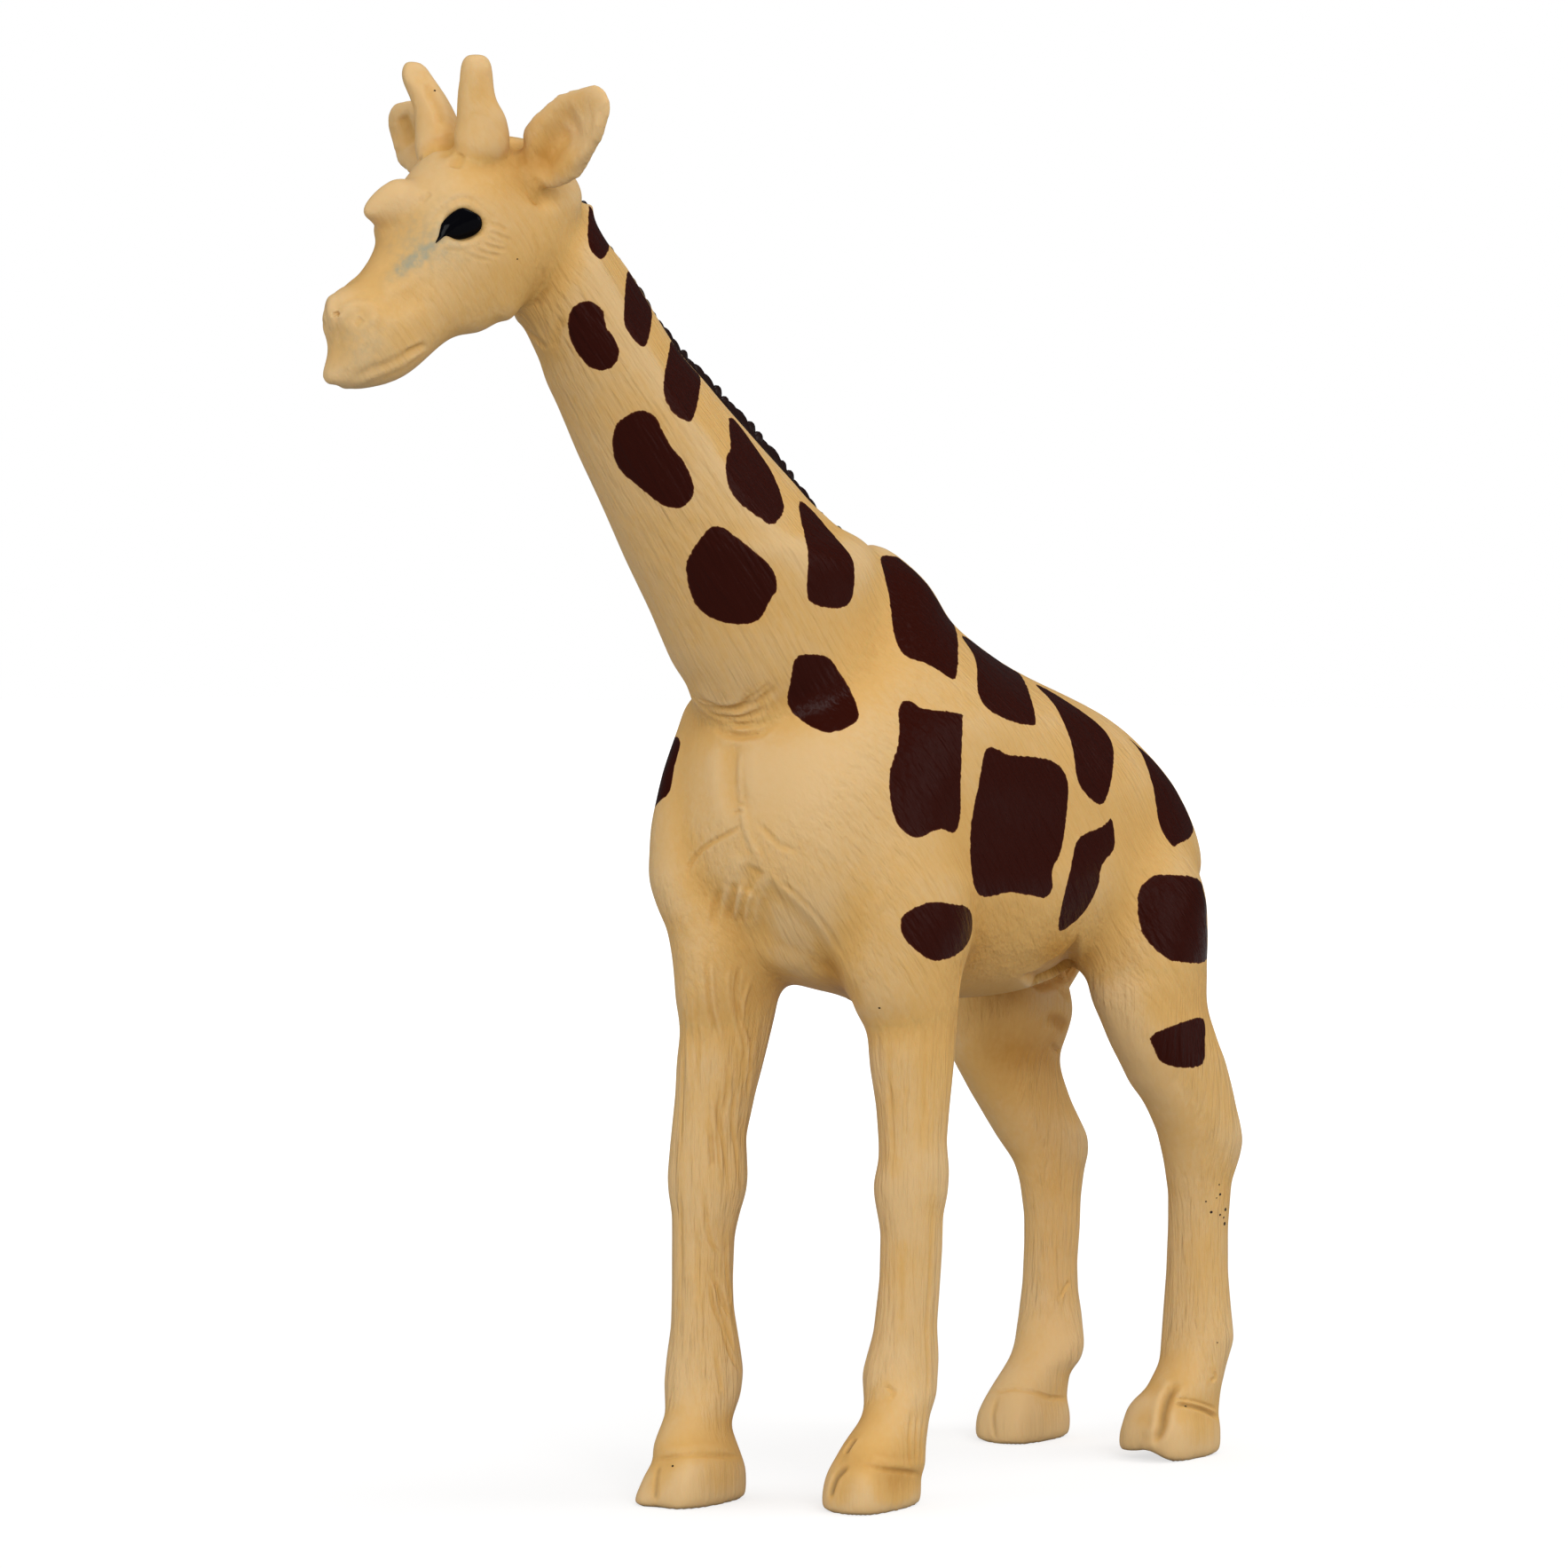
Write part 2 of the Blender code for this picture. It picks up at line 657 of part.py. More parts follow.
def make_legs(torso, torso_room):
    guides = {}
    for side, sign in SIDES.items():
        fore = trunk_point(FORE_LEG_ALONG_SHARES[side], 0.0, sign * FORE_LEG_OUT_SHARE)
        hind = trunk_point(HIND_LEG_ALONG_SHARES[side], 0.0, sign * HIND_LEG_OUT_SHARE)
        fore.z = 0
        hind.z = 0
        guides["fore_leg_" + side] = make_leg(
            "fore_leg_" + side, FORE_LEG_RING_SHARES, fore, FORE_LEG_HALF_DEPTH,
            FORE_LEG_HALF_WIDTH, torso, torso_room,
        )
        guides["hind_leg_" + side] = make_leg(
            "hind_leg_" + side, HIND_LEG_RING_SHARES, hind, HIND_LEG_HALF_DEPTH,
            HIND_LEG_HALF_WIDTH, torso, torso_room,
        )
    return guides


def make_neck(guide, torso, torso_room, head, head_room):
    boolean(guide, torso_room, "DIFFERENCE")
    boolean(guide, head_room, "DIFFERENCE")
    neck = settled("neck", guide, CREAM)
    rise = neck_axes()[1]
    low = neck_place(NECK_PEG_SHARE)[0]
    high = neck_place(HEAD_PEG_SHARE)[0]
    peg_and_socket(neck, torso, "neck_root", low, -rise, NECK_PEG_RADIUS, PEG_REACH)
    peg_and_socket(neck, head, "neck_crown", high, rise, HEAD_PEG_RADIUS, PEG_REACH)


def make_mane(neck_room, head_room):
    back = neck_axes()[2]
    rings = []
    for along, height, width in MANE_RING_SHARES:
        centre, depth, _ = neck_place(along)
        rings.append(
            ring(
                centre + back * depth,
                ACROSS * width * MANE_HALF_WIDTH,
                back * height * MANE_HEIGHT,
            )
        )
    guide = loft("mane_guide", rings, TRIM_SIDE_COUNT)
    boolean(guide, neck_room, "DIFFERENCE")
    boolean(guide, head_room, "DIFFERENCE")
    settled("mane", guide, BROWN)


def make_tail(torso, torso_room, leg_room):
    along, up = TAIL_ROOT_SHARES
    root = trunk_point(along, up)
    rings = []
    for share, sideways, back, radius_share in TAIL_RING_SHARES:
        centre = root + (ACROSS * sideways - FORWARD * back - UP * share) * TAIL_LENGTH
        radius = radius_share * TAIL_RADIUS
        rings.append(ring(centre, ACROSS * radius, FORWARD * radius))
    guide = loft("tail_guide", rings, TRIM_SIDE_COUNT)
    boolean(guide, torso_room, "DIFFERENCE")
    boolean(guide, leg_room, "DIFFERENCE")
    settled("tail", guide, CREAM)
    end = rings[-1][0]
    drop = (rings[-1][0] - rings[-2][0]).normalized()
    tuft_rings = []
    for share, radius_share in TUFT_RING_SHARES:
        radius = radius_share * TUFT_RADIUS
        centre = end + drop * (GAP + share * TUFT_LENGTH)
        tuft_rings.append(ring(centre, ACROSS * radius, FORWARD * radius))
    tuft = loft("tuft_guide", tuft_rings, TRIM_SIDE_COUNT)
    boolean(tuft, leg_room, "DIFFERENCE")
    boolean(tuft, grown(guide, GAP, "tail_room"), "DIFFERENCE")
    settled("tail_tuft", tuft, CREAM)


def skin_of(guide):
    bpy.context.view_layer.update()
    return BVHTree.FromObject(guide, bpy.context.evaluated_depsgraph_get())


def make_film(name, skin, start, way, level, half_length, half_height):
    """A film of paint with a rounded outline, laid on the skin where way meets it."""
    hit, facing = skin.ray_cast(start, way)[:2]
    long_way = (level - facing * level.dot(facing)).normalized() * half_length
    high_way = facing.cross(long_way).normalized() * half_height
    bm = bmesh.new()

    def laid(along, up):
        """The film's under and upper corner at these shares of its half sizes."""
        contact, outward = skin.find_nearest(hit + long_way * along + high_way * up)[:2]
        under = bm.verts.new(contact + outward * GAP)
        upper = bm.verts.new(contact + outward * (GAP + PAINT_THICKNESS))
        return under, upper

    rings = []
    for share in PATCH_RING_SHARES:
        corners = []
        for corner in range(PATCH_CORNER_COUNT):
            angle = math.tau * corner / PATCH_CORNER_COUNT
            cosine = math.cos(angle)
            sine = math.sin(angle)
            along = math.copysign(abs(cosine) ** (2 / PATCH_SQUARENESS), cosine)
            up = math.copysign(abs(sine) ** (2 / PATCH_SQUARENESS), sine)
            corners.append(laid(share * along, share * up))
        rings.append(corners)
    middle = laid(0, 0)
    inner, outer = rings
    for corner in range(PATCH_CORNER_COUNT):
        after = (corner + 1) % PATCH_CORNER_COUNT
        for face in (0, 1):
            bm.faces.new((middle[face], inner[corner][face], inner[after][face]))
            bm.faces.new(
                (inner[corner][face], outer[corner][face], outer[after][face], inner[after][face])
            )
        bm.faces.new((outer[corner][0], outer[after][0], outer[after][1], outer[corner][1]))
    place(name, mesh_of(name, bm), BROWN)


def make_trunk_patches(guide):
    skin = skin_of(guide)
    for side, sign in SIDES.items():
        for number, shares in enumerate(TRUNK_PATCH_SHARES, 1):
            along, up, half_length, half_height, turn = shares
            make_film(
                f"trunk_patch_{side}_{number}", skin, trunk_point(along, up), ACROSS * sign,
                UP * math.sin(turn) - FORWARD * math.cos(turn),
                half_length * TRUNK_LENGTH, half_height * TRUNK_DEPTH,
            )


def make_neck_patches(guide):
    skin = skin_of(guide)
    _, rise, back = neck_axes()
    for side, sign in SIDES.items():
        for number, shares in enumerate(NECK_PATCH_SHARES, 1):
            along, up, half_length, half_height = shares
            centre, depth, _ = neck_place(along)
            make_film(
                f"neck_patch_{side}_{number}", skin, centre + back * up * depth, ACROSS * sign,
                rise, half_length * NECK_LENGTH, half_height * NECK_ROOT_HALF_DEPTH,
            )


def make_thigh_patches(guides):
    height, back, half_height, half_length = THIGH_PATCH_SHARES
    for side, sign in SIDES.items():
        start = trunk_point(HIND_LEG_ALONG_SHARES[side], 0.0, sign * HIND_LEG_OUT_SHARE)
        start += -UP * (1 - height) * LEG_LENGTH - FORWARD * back * HIND_LEG_HALF_DEPTH
        make_film(
            "thigh_patch_" + side, skin_of(guides["hind_leg_" + side]), start, ACROSS * sign,
            -FORWARD, half_length * HIND_LEG_HALF_DEPTH, half_height * LEG_LENGTH,
        )


def centre_figure():
    """Moves the figure so that its origin is under the middle of its box, on the ground."""
    bpy.context.view_layer.update()
    graph = bpy.context.evaluated_depsgraph_get()
    points = []
    for thing in bpy.data.objects:
        if thing.type == "MESH" and not thing.hide_render:
            shown = thing.evaluated_get(graph)
            points += [shown.matrix_world @ Vector(corner) for corner in shown.bound_box]
    low = Vector(min(point[axis] for point in points) for axis in range(3))
    high = Vector(max(point[axis] for point in points) for axis in range(3))
    middle = (low + high) / 2
    bpy.data.objects["figure"].location = (-middle.x, -middle.y, -low.z)
    bpy.context.view_layer.update()


def main():
    clear_scene()
    figure = bpy.data.objects.new("figure", None)
    bpy.context.scene.collection.objects.link(figure)
    torso_guide = make_trunk_guide("torso_guide")
    torso_room = make_trunk_guide("torso_room", GAP)
    torso = make_torso(torso_guide)
    head_guide = make_head_guide("head_guide")
    head_room = make_head_guide("head_room", GAP)
    head = settled("head", head_guide, CREAM)
    neck_guide = make_neck_guide()
    neck_room = grown(neck_guide, GAP, "neck_room")
    make_neck_patches(neck_guide)
    make_neck(neck_guide, torso, torso_room, head, head_room)
    make_eyes(head)
    make_ossicones(head, head_room)
    make_ears(head, head_room)
    make_mane(neck_room, head_room)
    leg_guides = make_legs(torso, torso_room)
    leg_room = grown(leg_guides["hind_leg_right"], GAP, "hind_leg_room")
    make_tail(torso, torso_room, leg_room)
    make_trunk_patches(torso_guide)
    make_thigh_patches(leg_guides)
    centre_figure()


main()
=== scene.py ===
"""A standing toy giraffe in soft vinyl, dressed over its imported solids.

The figure faces -Y and its left side is towards +X. Lengths are in metres.
"""

import math

import bmesh
import bpy
import numpy as np
from mathutils import Matrix, Vector
from mathutils.bvhtree import BVHTree
from mathutils.kdtree import KDTree


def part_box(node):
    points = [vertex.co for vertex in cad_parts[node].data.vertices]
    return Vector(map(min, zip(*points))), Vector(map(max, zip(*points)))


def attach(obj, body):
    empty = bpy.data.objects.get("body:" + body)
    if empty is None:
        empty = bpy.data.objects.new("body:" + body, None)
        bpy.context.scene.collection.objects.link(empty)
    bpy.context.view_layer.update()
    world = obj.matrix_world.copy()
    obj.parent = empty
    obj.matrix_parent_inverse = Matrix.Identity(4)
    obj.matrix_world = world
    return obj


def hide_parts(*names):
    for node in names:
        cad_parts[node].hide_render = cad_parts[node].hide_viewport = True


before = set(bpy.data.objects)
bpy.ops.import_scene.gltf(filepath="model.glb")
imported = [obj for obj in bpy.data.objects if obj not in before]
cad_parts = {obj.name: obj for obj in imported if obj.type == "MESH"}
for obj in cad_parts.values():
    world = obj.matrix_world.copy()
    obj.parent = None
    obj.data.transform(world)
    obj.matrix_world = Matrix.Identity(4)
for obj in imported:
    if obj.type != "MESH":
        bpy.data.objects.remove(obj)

MM = 0.001
# Keeps a division by a length of nothing harmless
TINY = 1e-9

# Camera, in the photograph's square frame
IMAGE_SIZE = 1767
CAMERA_AZIMUTH = math.radians(39.1)
CAMERA_ELEVATION = math.radians(1.5)
CAMERA_DISTANCE = 0.720
CAMERA_FOCAL_PIXELS = 6612
CAMERA_TARGET_FROM_CHEST = Vector((-14.0, 26.5, 85.35)) * MM
CHEST_SETBACK = 0.5 * MM
SENSOR_WIDTH = 36.0
CAMERA_RANGE = (0.01, 20.0)

# The mouldings that make up the skin
LEGS = ("fore_leg_left", "fore_leg_right", "hind_leg_left", "hind_leg_right")
HEAD_NODES = ("head", "ear_left", "ear_right", "ossicone_left", "ossicone_right")
SKIN_NODES = ("torso", "neck", "tail", "tail_tuft") + LEGS + HEAD_NODES

# Skin: the mouldings are swollen until their seams close, then remeshed
SKIN_VOXEL = 0.45 * MM
SEAM_FILL = 0.22 * MM
SEAM_SINK = 0.4 * MM
MERGE = 0.001 * MM
VENT_PLUG_RADIUS = 2.5 * MM
VENT_FROM_CHEST = 24.03 * MM
VENT_HEIGHT = 1.0 * MM
# The tail's end runs on into its tuft: places between the two, and the radii at both ends
TAIL_BRIDGE_SHARES = (-0.2, -0.1, 0.0, 0.1, 0.2, 0.3, 0.4, 0.5, 0.6, 0.7, 0.8, 0.9, 1.0)
TAIL_BRIDGE_RADII = (1.3 * MM, 2.0 * MM)

# Smoothing: rounds, and how much of it each moulding takes
SMOOTH_ROUNDS = 48
SHARE_BLEND_ROUNDS = 12
SMOOTH_SHARES = {
    "torso": 1.0, "neck": 1.0, "tail": 0.10, "tail_tuft": 0.10, "head": 0.22, "ear_left": 0.08,
    "ear_right": 0.08, "ossicone_left": 0.12, "ossicone_right": 0.12, "fore_leg_left": 0.35,
    "fore_leg_right": 0.35, "hind_leg_left": 0.35, "hind_leg_right": 0.35,
}
LAST_SMOOTHING = (0.25, 4)
FINE_SMOOTHING = (0.5, 3)
# Where faces are cut in four: strokes narrower than this, and how many radii beside them
FINER_STEPS = ((1.2 * MM, 1.3), (0.65 * MM, 1.05))

# How strongly the moulded hair shows on each moulding
HAIR_SHARES = {
    "head": 0.35, "ear_left": 0.35, "ear_right": 0.35, "ossicone_left": 0.25,
    "ossicone_right": 0.25, "torso": 0.65, "neck": 0.7, "tail": 0.8, "tail_tuft": 0.8,
    "fore_leg_left": 0.8, "fore_leg_right": 0.95, "hind_leg_left": 1.0, "hind_leg_right": 1.0,
}
# Hair that would be seen end-on fades out: from and to this much of its way along the normal
FLANK_END_ON = (0.40, 0.75)
LEG_END_ON = (0.14, 0.42)
END_ON_LOSS = 0.85
HOOF_HAIR_SHARE = 0.3
HOOF_HAIR_HEIGHTS = (5 * MM, 12 * MM)
LEG_HAIR_HEIGHTS = (52 * MM, 66 * MM)
NECK_HAIR_REACH = (2 * MM, 22 * MM)

# The neck's middle line: shares of its box where its root and its crown lie
NECK_ROOT_SHARE = 0.36
NECK_CROWN_SHARE = 0.16

# Where the figure's edges lie in the photograph. Each entry holds some mouldings, the rows over
# which their fit fades in and out, and their left and right edges as pixels: row, column.
EDGES = {
    "body": (
        ("torso", "neck"),
        (400, 440, 1040, 1110),
        ((400, 598), (450, 624), (510, 649), (570, 677), (630, 703), (690, 732), (750, 757),
         (776, 777), (795, 771), (820, 763), (870, 746), (930, 733), (990, 730), (1050, 745)),
        ((198, 647), (214, 656), (230, 663), (250, 675), (269, 686), (287, 700), (300, 710),
         (331, 729), (360, 746),
         (390, 765), (450, 813), (510, 866), (570, 920), (602, 960), (620, 1008), (635, 1030),
         (659, 1051), (704, 1075), (731, 1110), (753, 1142), (770, 1176), (786, 1211),
         (806, 1249), (828, 1276), (854, 1301), (881, 1323), (911, 1339), (932, 1348),
         (956, 1356), (1002, 1361), (1050, 1361), (1110, 1361)),
    ),
    "fore_leg_right": (
        ("fore_leg_right",),
        (1080, 1130, 1900, 2000),
        ((1050, 745), (1110, 762), (1170, 762), (1230, 761), (1290, 755), (1325, 752),
         (1344, 753), (1368, 757), (1451, 757), (1494, 756), (1529, 751), (1558, 748),
         (1593, 749), (1615, 740), (1631, 734), (1646, 735), (1666, 725)),
        ((1110, 885), (1134, 876), (1170, 868), (1230, 852), (1280, 841), (1325, 843),
         (1344, 841), (1366, 834), (1392, 828), (1441, 826), (1473, 827), (1516, 834),
         (1545, 838), (1572, 835), (1596, 826), (1607, 824), (1636, 835), (1655, 841),
         (1668, 841)),
    ),
    "fore_leg_left": (
        ("fore_leg_left",),
        (1080, 1130, 1900, 2000),
        ((1110, 969), (1154, 976), (1202, 980), (1246, 987), (1287, 990), (1307, 990),
         (1334, 984), (1350, 985), (1387, 992), (1441, 991), (1467, 988), (1502, 984),
         (1526, 977), (1548, 971), (1585, 973), (1601, 968), (1625, 950), (1639, 942),
         (1655, 933), (1670, 928)),
        ((1105, 1083), (1193, 1076), (1251, 1070), (1287, 1067), (1320, 1070), (1347, 1068),
         (1368, 1063), (1408, 1062), (1467, 1058), (1494, 1056), (1529, 1058), (1572, 1056),
         (1596, 1048), (1625, 1044), (1655, 1043), (1662, 1037), (1676, 1040)),
    ),
    "hind_leg_right": (
        ("hind_leg_right",),
        (1130, 1200, 1900, 2000),
        ((1170, 1060), (1230, 1092), (1280, 1122), (1308, 1142), (1331, 1149), (1369, 1154),
         (1402, 1154), (1445, 1152), (1483, 1147), (1514, 1142), (1529, 1137), (1547, 1126),
         (1562, 1116), (1580, 1106), (1596, 1100)),
        ((1180, 1192), (1210, 1197), (1240, 1207), (1280, 1226), (1298, 1227), (1318, 1222),
         (1349, 1218), (1382, 1217), (1422, 1214), (1455, 1215), (1478, 1219), (1516, 1223),
         (1534, 1218), (1545, 1206), (1576, 1202), (1590, 1206), (1600, 1206)),
    ),
    "hind_leg_left": (
        ("hind_leg_left",),
        (1090, 1140, 1900, 2000),
        ((1100, 1223), (1127, 1231), (1174, 1249), (1196, 1260), (1221, 1272), (1239, 1286),
         (1255, 1294), (1276, 1303), (1310, 1311), (1343, 1316),
         (1382, 1316), (1433, 1314), (1483, 1310), (1534, 1306), (1552, 1297), (1567, 1289),
         (1576, 1276), (1588, 1268), (1608, 1264)),
        ((1061, 1361), (1123, 1362), (1147, 1365), (1174, 1373), (1194, 1381), (1225, 1389),
         (1245, 1393), (1266, 1398), (1285, 1401), (1305, 1397), (1331, 1388),
         (1382, 1384), (1433, 1384), (1471, 1387), (1509, 1391), (1540, 1382), (1565, 1376),
         (1596, 1373), (1611, 1377), (1625, 1376)),
    ),
}
EDGE_BIN = 3
EDGE_BLUR = {"torso": 11, "leg": 5}

# Pulls in the photograph's plane, as pixels: column, row, columns to go, rows to go and radius
PULLS = (
    (("head", "neck"), (
        (428, 222, -10, 8, 22),
        (418, 240, -9, 3, 16),
        (434, 256, -9, 2, 14),
        (405, 300, -5, 0, 24),
        (384, 350, -16, -2, 26),
        (388, 330, -8, -4, 18),
        (368, 372, -4, 0, 18),
        (378, 418, -13, 8, 22),
        (374, 424, -5, 3, 14),
        (400, 425, -2, 4, 20),
        (540, 366, 2, 7, 24),
        (578, 345, -2, 12, 20),
        (648, 222, 12, 4, 22),
    )),
    (("ossicone_left",), (
        (540, 62, -6, 4, 30),
        (545, 110, -7, 2, 34),
        (557, 136, 8, -1, 18),
    )),
    (("ossicone_right",), (
        (482, 76, -16, 4, 22),
        (470, 90, -5, 2, 26),
        (492, 105, -6, 0, 20),
    )),
    (("ear_left",), (
        (612, 108, 2, 8, 24),
        (640, 92, 3, 7, 22),
        (662, 88, 0, 6, 20),
        (684, 150, -4, 2, 24),
        (674, 180, -4, -4, 16),
    )),
    (("ear_right",), (
        (450, 120, -9, 2, 22),
        (450, 150, -8, 0, 22),
        (462, 180, -12, 5, 20),
    )),
    (("fore_leg_right",), (
        (732, 1692, -9, 0, 20),
        (726, 1700, -5, 0, 12),
    )),
    (("tail_tuft", "tail"), (
        (1226, 1105, -26, -6, 42),
        (1212, 1145, -14, 0, 36),
        (1206, 1096, 9, -4, 14),
    )),
    (("torso", "hind_leg_left"), (
        (1232, 1094, -15, 0, 26),
        (1368, 1108, -7, 0, 28),
    )),
    (("hind_leg_left",), (
        (1282, 1632, 0, -13, 24),
        (1300, 1640, 0, -6, 14),
    )),
    (("torso", "fore_leg_right", "fore_leg_left"), (
        (985, 618, 0, -12, 26),
        (742, 1092, 17, 0, 50),
        (746, 1118, 8, 0, 42),
        (870, 1120, 7, 0, 22),
        (955, 1122, 8, 2, 18),
        (1085, 1100, -6, 0, 24),
    )),
)
# Places where one moulding's skin flows into the next: column, row, radius, rounds
BLENDS = (
    (432, 232, 24, 30),
    (562, 150, 18, 20),
    (640, 250, 26, 110),
    (626, 290, 26, 110),
    (606, 325, 22, 80),
    (595, 215, 20, 40),
    (966, 700, 64, 150),
    (1000, 640, 40, 100),
    (775, 1128, 48, 130),
    (850, 1122, 40, 130),
    (985, 1140, 32, 50),
    (1062, 1112, 45, 100),
    (1255, 1085, 40, 50),
    (1262, 975, 58, 130),
    (1340, 975, 44, 150),
    (1340, 1105, 40, 60),
    (1238, 1045, 40, 70),
)
# The neck's crest is drawn out over these rows
CREST_ROWS = (196, 216, 600, 640)
CREST_ROUNDS = 3
CREST_LIMIT = 2.5 * MM
CREST_NARROWING = 0.11
CREST_FACING = (0.0, 0.95)
CREST_SIDE_FACING = (-0.1, 0.6)
CREST_SMOOTHING = (0.3, 3)
ROW_STEP = 2.0

# Hollows with a crisp edge: depth and width of the edge in millimetres, then the outline in pixels
DENTS = (
    (0.8, 2.2, ((866, 985), (846, 1004), (838, 1030), (842, 1062), (866, 1084), (905, 1100),
                (935, 1118), (956, 1128), (957, 1108), (947, 1078), (931, 1046), (908, 1020),
                (886, 1000))),
    (1.2, 1.2, ((1217, 1050), (1208, 1062), (1192, 1078), (1168, 1092), (1150, 1101),
                (1172, 1120), (1200, 1112), (1214, 1096), (1219, 1072))),
)

# Carved strokes: radius and depth in millimetres, then the route in pixels. A depth below zero
# is a raised ridge.
NECK_FOLDS = (
    (0.9, 0.30, ((783, 781), (798, 793), (820, 800), (842, 797), (861, 786), (876, 770))),
    (0.6, 0.22, ((790, 797), (805, 806), (825, 810), (842, 806), (856, 796))),
    (0.6, 0.20, ((800, 809), (816, 817), (836, 817), (852, 808), (866, 796))),
    (0.7, 0.20, ((812, 821), (832, 829), (848, 830), (862, 824), (876, 812))),
    (0.5, 0.12, ((838, 792), (856, 780), (868, 768))),
)
CHEST_FOLDS = (
    (2.4, 0.40, ((824, 831), (823, 870), (828, 900), (836, 920))),
    (0.8, -0.22, ((834, 834), (832, 870), (832, 895), (838, 920), (841, 936), (851, 960),
                  (862, 978))),
    (0.45, 0.20, ((841, 928), (820, 940), (798, 952), (783, 966), (776, 980), (780, 998))),
    (0.6, 0.14, ((852, 926), (866, 940), (878, 952), (892, 958), (902, 964))),
    (0.4, 0.14, ((824, 910), (832, 906), (840, 908))),
    (0.4, 0.14, ((824, 918), (832, 914), (840, 917))),
    (2.0, 0.55, ((852, 975), (846, 993), (842, 1010))),
    (0.8, 0.30, ((830, 991), (825, 1015), (821, 1039))),
    (0.7, 0.30, ((845, 993), (838, 1015), (833, 1042))),
    (0.7, 0.25, ((852, 1003), (846, 1022), (843, 1044))),
    (1.1, -0.12, ((838, 990), (831, 1015), (827, 1040))),
    (1.1, -0.12, ((822, 996), (816, 1020), (812, 1046))),
    (0.7, 0.20, ((812, 1000), (806, 1022), (804, 1048))),
)
LEG_LINES = (
    (0.6, 0.16, ((872, 988), (892, 1004), (912, 1024), (934, 1050), (950, 1080))),
    (0.5, 0.25, ((1084, 1078), (1081, 1108), (1079, 1130), (1077, 1165))),
    (0.6, -0.20, ((801, 1078), (803, 1115), (806, 1139), (813, 1166), (815, 1185))),
    (0.5, 0.20, ((796, 1076), (798, 1115), (801, 1140), (808, 1170))),
    (0.6, -0.20, ((824, 1080), (820, 1112), (825, 1144), (834, 1178), (836, 1200))),
    (0.5, 0.22, ((834, 1085), (830, 1115), (833, 1144), (839, 1160))),
    (0.6, -0.22, ((849, 1095), (838, 1128), (836, 1154), (842, 1178), (841, 1230))),
    (0.5, 0.24, ((848, 1165), (845, 1195), (842, 1235))),
    (0.5, 0.20, ((814, 1225), (810, 1258), (817, 1297), (820, 1324), (822, 1340))),
    (0.5, 0.18, ((820, 1195), (820, 1226), (813, 1263), (812, 1280))),
    (0.5, -0.18, ((800, 1225), (805, 1282), (810, 1338))),
    (0.5, 0.20, ((830, 1220), (825, 1263), (830, 1299), (833, 1338))),
    (0.45, 0.20, ((801, 1275), (803, 1304), (802, 1318))),
    (0.45, 0.18, ((807, 1275), (808, 1296), (809, 1320))),
    (0.5, 0.20, ((793, 1335), (796, 1374), (800, 1395), (807, 1409), (812, 1418))),
    (0.5, 0.20, ((798, 1425), (808, 1451), (812, 1473), (818, 1494), (826, 1521))),
    (0.5, 0.24, ((818, 1395), (819, 1430), (823, 1462), (827, 1486))),
    (0.45, 0.20, ((807, 1442), (815, 1468), (822, 1486))),
    (0.45, 0.18, ((799, 1435), (803, 1468), (814, 1494), (821, 1521), (834, 1547))),
    (0.5, -0.18, ((812, 1432), (818, 1465), (824, 1500), (831, 1534))),
    (0.45, 0.16, ((806, 1525), (812, 1559), (814, 1570))),
    (0.5, 0.14, ((786, 1385), (787, 1470))),
    (0.5, -0.12, ((776, 1120), (774, 1180), (778, 1250))),
    (0.5, 0.14, ((784, 1110), (786, 1180), (786, 1240))),
    (0.5, 0.12, ((770, 1180), (768, 1260), (767, 1310))),
    (0.5, 0.12, ((766, 1330), (768, 1400), (766, 1470))),
    (0.4, 0.16, ((1028, 1590), (1024, 1626), (1025, 1655))),
    (0.4, 0.16, ((1035, 1590), (1032, 1623), (1032, 1652))),
    (0.4, 0.14, ((1040, 1599), (1038, 1628), (1038, 1650))),
    (0.5, 0.14, ((1050, 1350), (1048, 1441), (1044, 1494), (1046, 1548), (1043, 1590))),
    (0.5, 0.10, ((1016, 1405), (1016, 1500))),
    (0.5, 0.10, ((1000, 1160), (1004, 1250), (1008, 1320))),
    (0.5, 0.10, ((1040, 1150), (1042, 1220), (1040, 1290))),
    (0.4, 0.12, ((1003, 1577), (1007, 1569), (999, 1561))),
    (0.45, 0.16, ((1368, 1545), (1370, 1552), (1364, 1557))),
    (0.45, 0.16, ((1205, 1443), (1198, 1456), (1195, 1463))),
)
HOOF_RIMS = (
    (0.45, 0.13, ((736, 1646), (751, 1644), (780, 1640), (812, 1641), (835, 1642))),
    (0.8, -0.12, ((738, 1638), (760, 1634), (790, 1631), (828, 1634))),
    (0.45, 0.14, ((968, 1648), (980, 1652), (995, 1656), (1021, 1659), (1037, 1662))),
    (0.8, -0.12, ((972, 1640), (990, 1645), (1012, 1650), (1036, 1652))),
    (0.45, 0.14, ((1116, 1568), (1126, 1569), (1142, 1566), (1167, 1570), (1182, 1575),
                  (1202, 1576))),
    (0.35, 0.14, ((1318, 1578), (1333, 1577), (1356, 1582), (1374, 1590))),
)
HOOF_CLEFTS = (
    (0.6, 0.12, ((744, 1648), (740, 1666), (738, 1694))),
    (0.6, 0.35, ((964, 1620), (960, 1626), (956, 1632), (952, 1639))),
    (0.7, 0.30, ((957, 1650), (949, 1658), (941, 1668), (934, 1691))),
    (0.6, 0.12, ((1124, 1573), (1119, 1598), (1123, 1625))),
    (1.0, 0.70, ((1328, 1555), (1317, 1573), (1312, 1590), (1308, 1611), (1297, 1630))),
    (0.45, 0.28, ((1317, 1585), (1333, 1583), (1356, 1589), (1373, 1598))),
)
